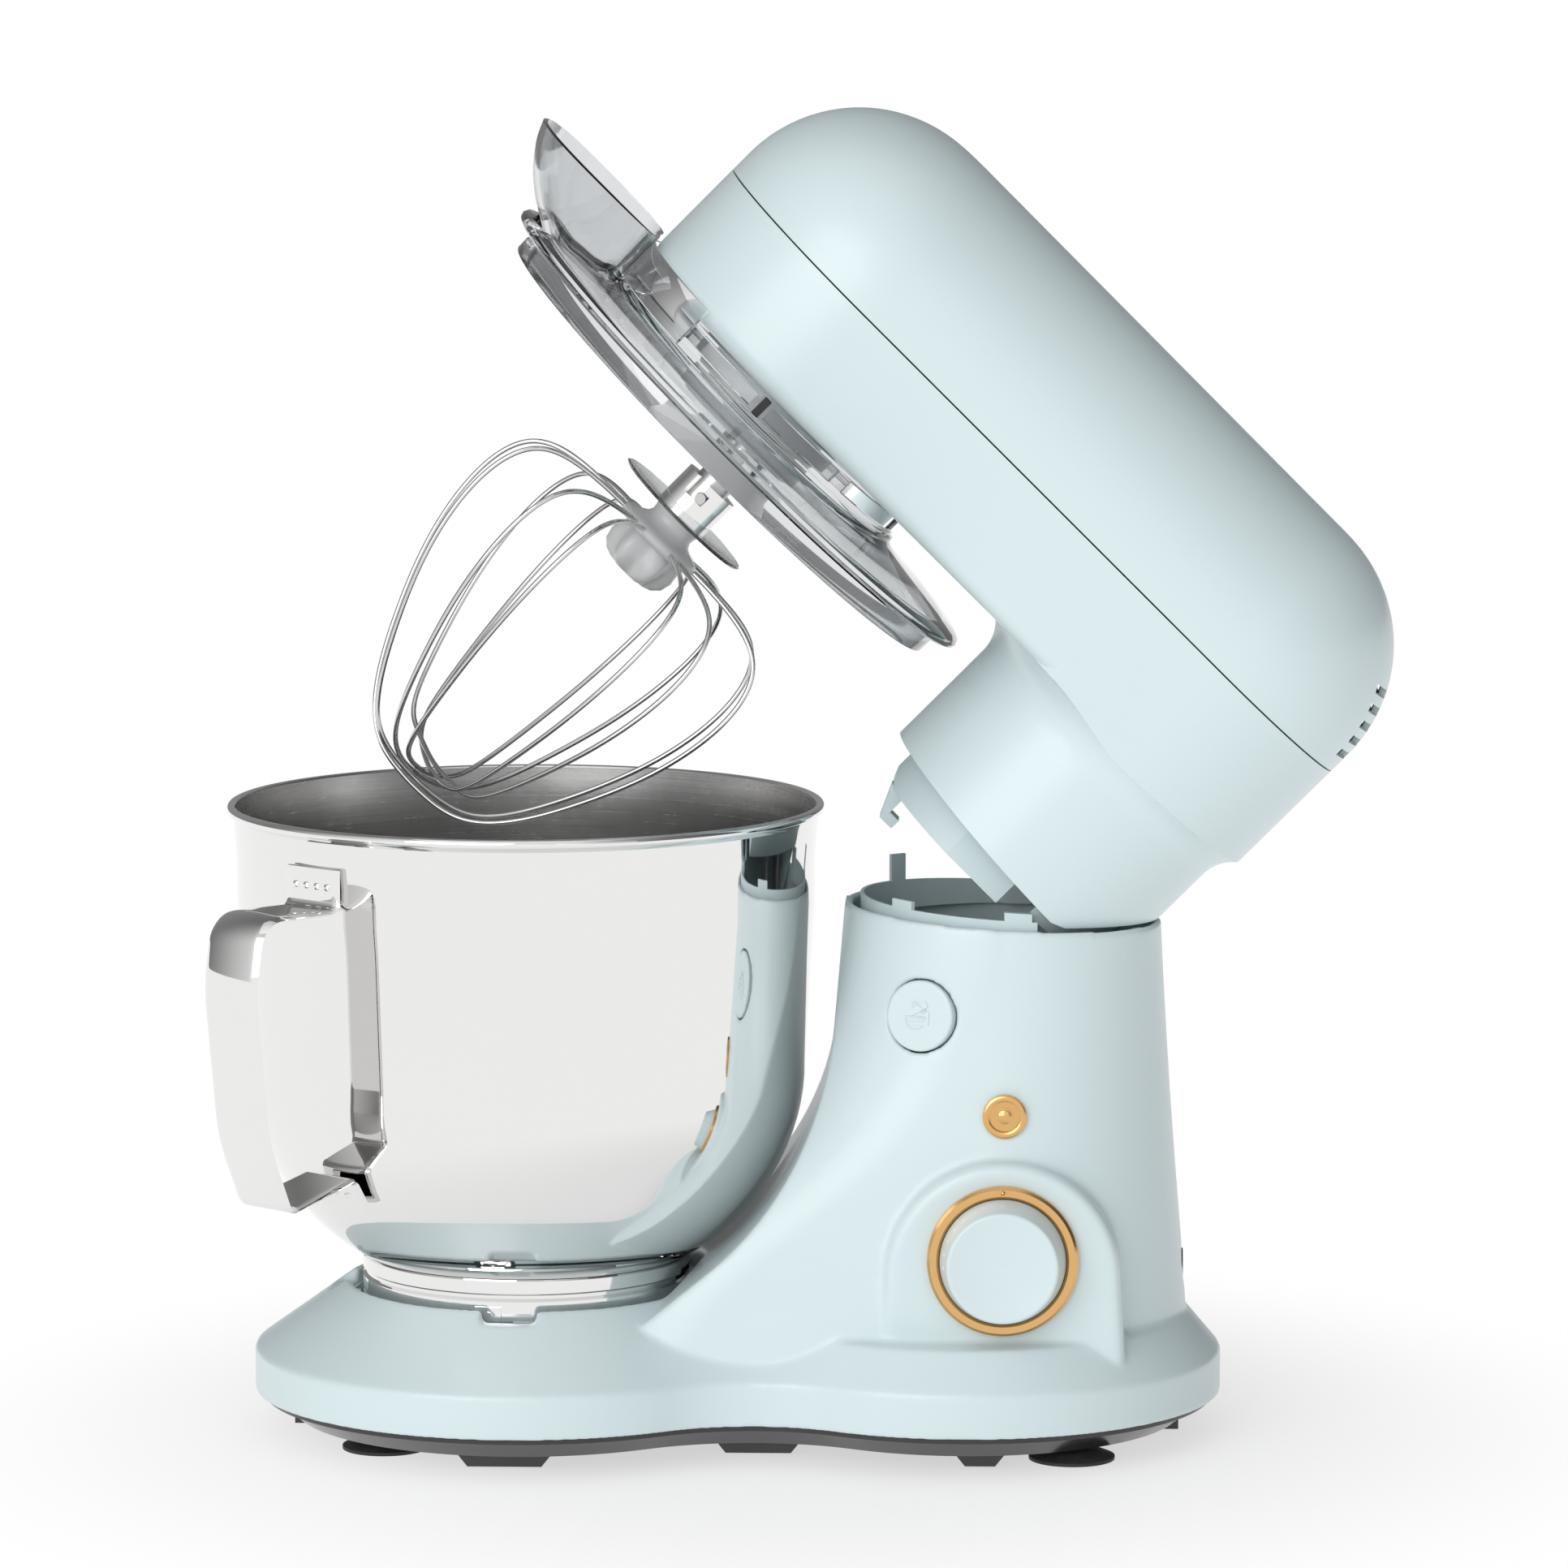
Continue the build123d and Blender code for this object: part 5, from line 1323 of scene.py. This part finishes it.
@dataclass
class Studio:
    """Pale floor, soft lights and the camera."""

    floor_r: float = 40.0
    eye: Vector = field(default_factory=lambda: Vector((0.18248, -2.66653, 0.58189)))
    aim: Vector = field(default_factory=lambda: Vector((0.09571, 0.0, 0.24159)))
    lens: float = 166.72
    falloffs: tuple[tuple[str, float, float, float, float], ...] = (
        ("Y", -0.55, 0.45, 1.0, 0.26),
        ("X", 0.05, 0.9, 1.0, 0.18),
        ("X", -1.0, -0.5, 0.75, 1.0),
        ("Z", 0.3, 0.95, 1.0, 0.62),
    )

    def build(self) -> None:
        """Sets the floor, the world, the lights and the camera."""
        self.floor()
        self.world()
        self.softbox("key_softbox", (-1.3, -3.0, 1.5), 2.4, 42.0)
        self.softbox("fill_softbox", (1.8, -3.0, 1.2), 2.0, 3.0)
        self.softbox("top_softbox", (0.0, -0.6, 3.0), 2.6, 8.0)
        self.camera()
        bpy.context.scene.view_settings.view_transform = "Standard"

    def floor(self) -> None:
        """Round pale floor."""
        mesh = bpy.data.meshes.new("floor")
        disc = bmesh.new()
        bmesh.ops.create_circle(disc, cap_ends=True, segments=96, radius=self.floor_r)
        disc.to_mesh(mesh)
        disc.free()
        floor = bpy.data.objects.new("floor", mesh)
        made = bpy.data.materials.new("pale_floor")
        made.use_nodes = True
        shader = made.node_tree.nodes["Principled BSDF"]
        shader.inputs["Base Color"].default_value = (0.9, 0.9, 0.9, 1.0)
        shader.inputs["Roughness"].default_value = 0.7
        tree = made.node_tree
        glow = tree.nodes.new("ShaderNodeEmission")
        glow.inputs["Color"].default_value = (1.0, 1.0, 1.0, 1.0)
        away = tree.nodes.new("ShaderNodeVectorMath")
        away.operation = "DISTANCE"
        away.inputs[1].default_value = (0.1, 0.0, 0.0)
        tree.links.new(tree.nodes.new("ShaderNodeNewGeometry").outputs["Position"], away.inputs[0])
        fade = tree.nodes.new("ShaderNodeMapRange")
        fade.interpolation_type = "SMOOTHSTEP"
        fade.inputs["From Min"].default_value, fade.inputs["From Max"].default_value = 0.08, 0.36
        fade.inputs["To Min"].default_value = 0.6
        tree.links.new(away.outputs["Value"], fade.inputs["Value"])
        mix = tree.nodes.new("ShaderNodeMixShader")
        tree.links.new(fade.outputs["Result"], mix.inputs[0])
        tree.links.new(shader.outputs[0], mix.inputs[1])
        tree.links.new(glow.outputs[0], mix.inputs[2])
        tree.links.new(mix.outputs[0], tree.nodes["Material Output"].inputs["Surface"])
        mesh.materials.append(made)
        bpy.context.scene.collection.objects.link(floor)

    def world(self) -> None:
        """White backdrop that is bright in front and overhead and falls off behind the object."""
        world = bpy.data.worlds.new("studio")
        world.use_nodes = True
        tree = world.node_tree
        back = tree.nodes["Background"]
        split = tree.nodes.new("ShaderNodeSeparateXYZ")
        tree.links.new(tree.nodes.new("ShaderNodeTexCoord").outputs["Generated"], split.inputs[0])
        tone = None
        for axis, start, end, near, far in self.falloffs:
            fade = tree.nodes.new("ShaderNodeMapRange")
            fade.interpolation_type = "SMOOTHSTEP"
            for slot, value in zip(("From Min", "From Max", "To Min", "To Max"), (start, end, near, far)):
                fade.inputs[slot].default_value = value
            tree.links.new(split.outputs[axis], fade.inputs["Value"])
            tone = fade.outputs[0] if tone is None else Effects.maths(tree, "MULTIPLY", tone, fade.outputs[0])
        seen = tree.nodes.new("ShaderNodeMix")
        seen.data_type = "RGBA"
        tree.links.new(tree.nodes.new("ShaderNodeLightPath").outputs["Is Camera Ray"], seen.inputs[0])
        tree.links.new(tone, seen.inputs[6])
        seen.inputs[7].default_value = (1.05, 1.05, 1.05, 1.0)
        tree.links.new(seen.outputs[2], back.inputs["Color"])
        back.inputs["Strength"].default_value = 1.0
        bpy.context.scene.world = world

    def softbox(self, name: str, place: tuple[float, float, float], size: float, power: float) -> None:
        """Square area light that faces the object.

        Args:
            name: the light's name.
            place: where it stands, in metres.
            size: its side in metres.
            power: its power in watts.
        """
        light = bpy.data.lights.new(name, "AREA")
        light.shape = "SQUARE"
        light.size = size
        light.energy = power
        lamp = bpy.data.objects.new(name, light)
        lamp.location = place
        lamp.rotation_euler = (self.aim - Vector(place)).to_track_quat("-Z", "Y").to_euler()
        bpy.context.scene.collection.objects.link(lamp)

    def camera(self) -> None:
        """Long-lens camera at standing height in front of the knob's side."""
        lens = bpy.data.cameras.new("camera")
        lens.lens = self.lens
        lens.sensor_width = 36.0
        lens.clip_start, lens.clip_end = 0.05, 200.0
        camera = bpy.data.objects.new("camera", lens)
        camera.location = self.eye
        camera.rotation_euler = (self.aim - self.eye).to_track_quat("-Z", "Y").to_euler()
        bpy.context.scene.collection.objects.link(camera)
        bpy.context.scene.camera = camera


def main() -> None:
    """Builds every sub-assembly and the studio."""
    logging.basicConfig(level=logging.INFO, format="%(name)s: %(message)s")
    Studio().build()
    shop = Workshop()
    for assembly in (Stand(shop), Controls(shop), Bowl(shop), Head(shop), Drive(shop), Shield(shop), Whisk(shop)):
        assembly.build()
        LOG.info("%s done", type(assembly).__name__)
    bpy.context.view_layer.update()


if __name__ == "__main__":
    main()
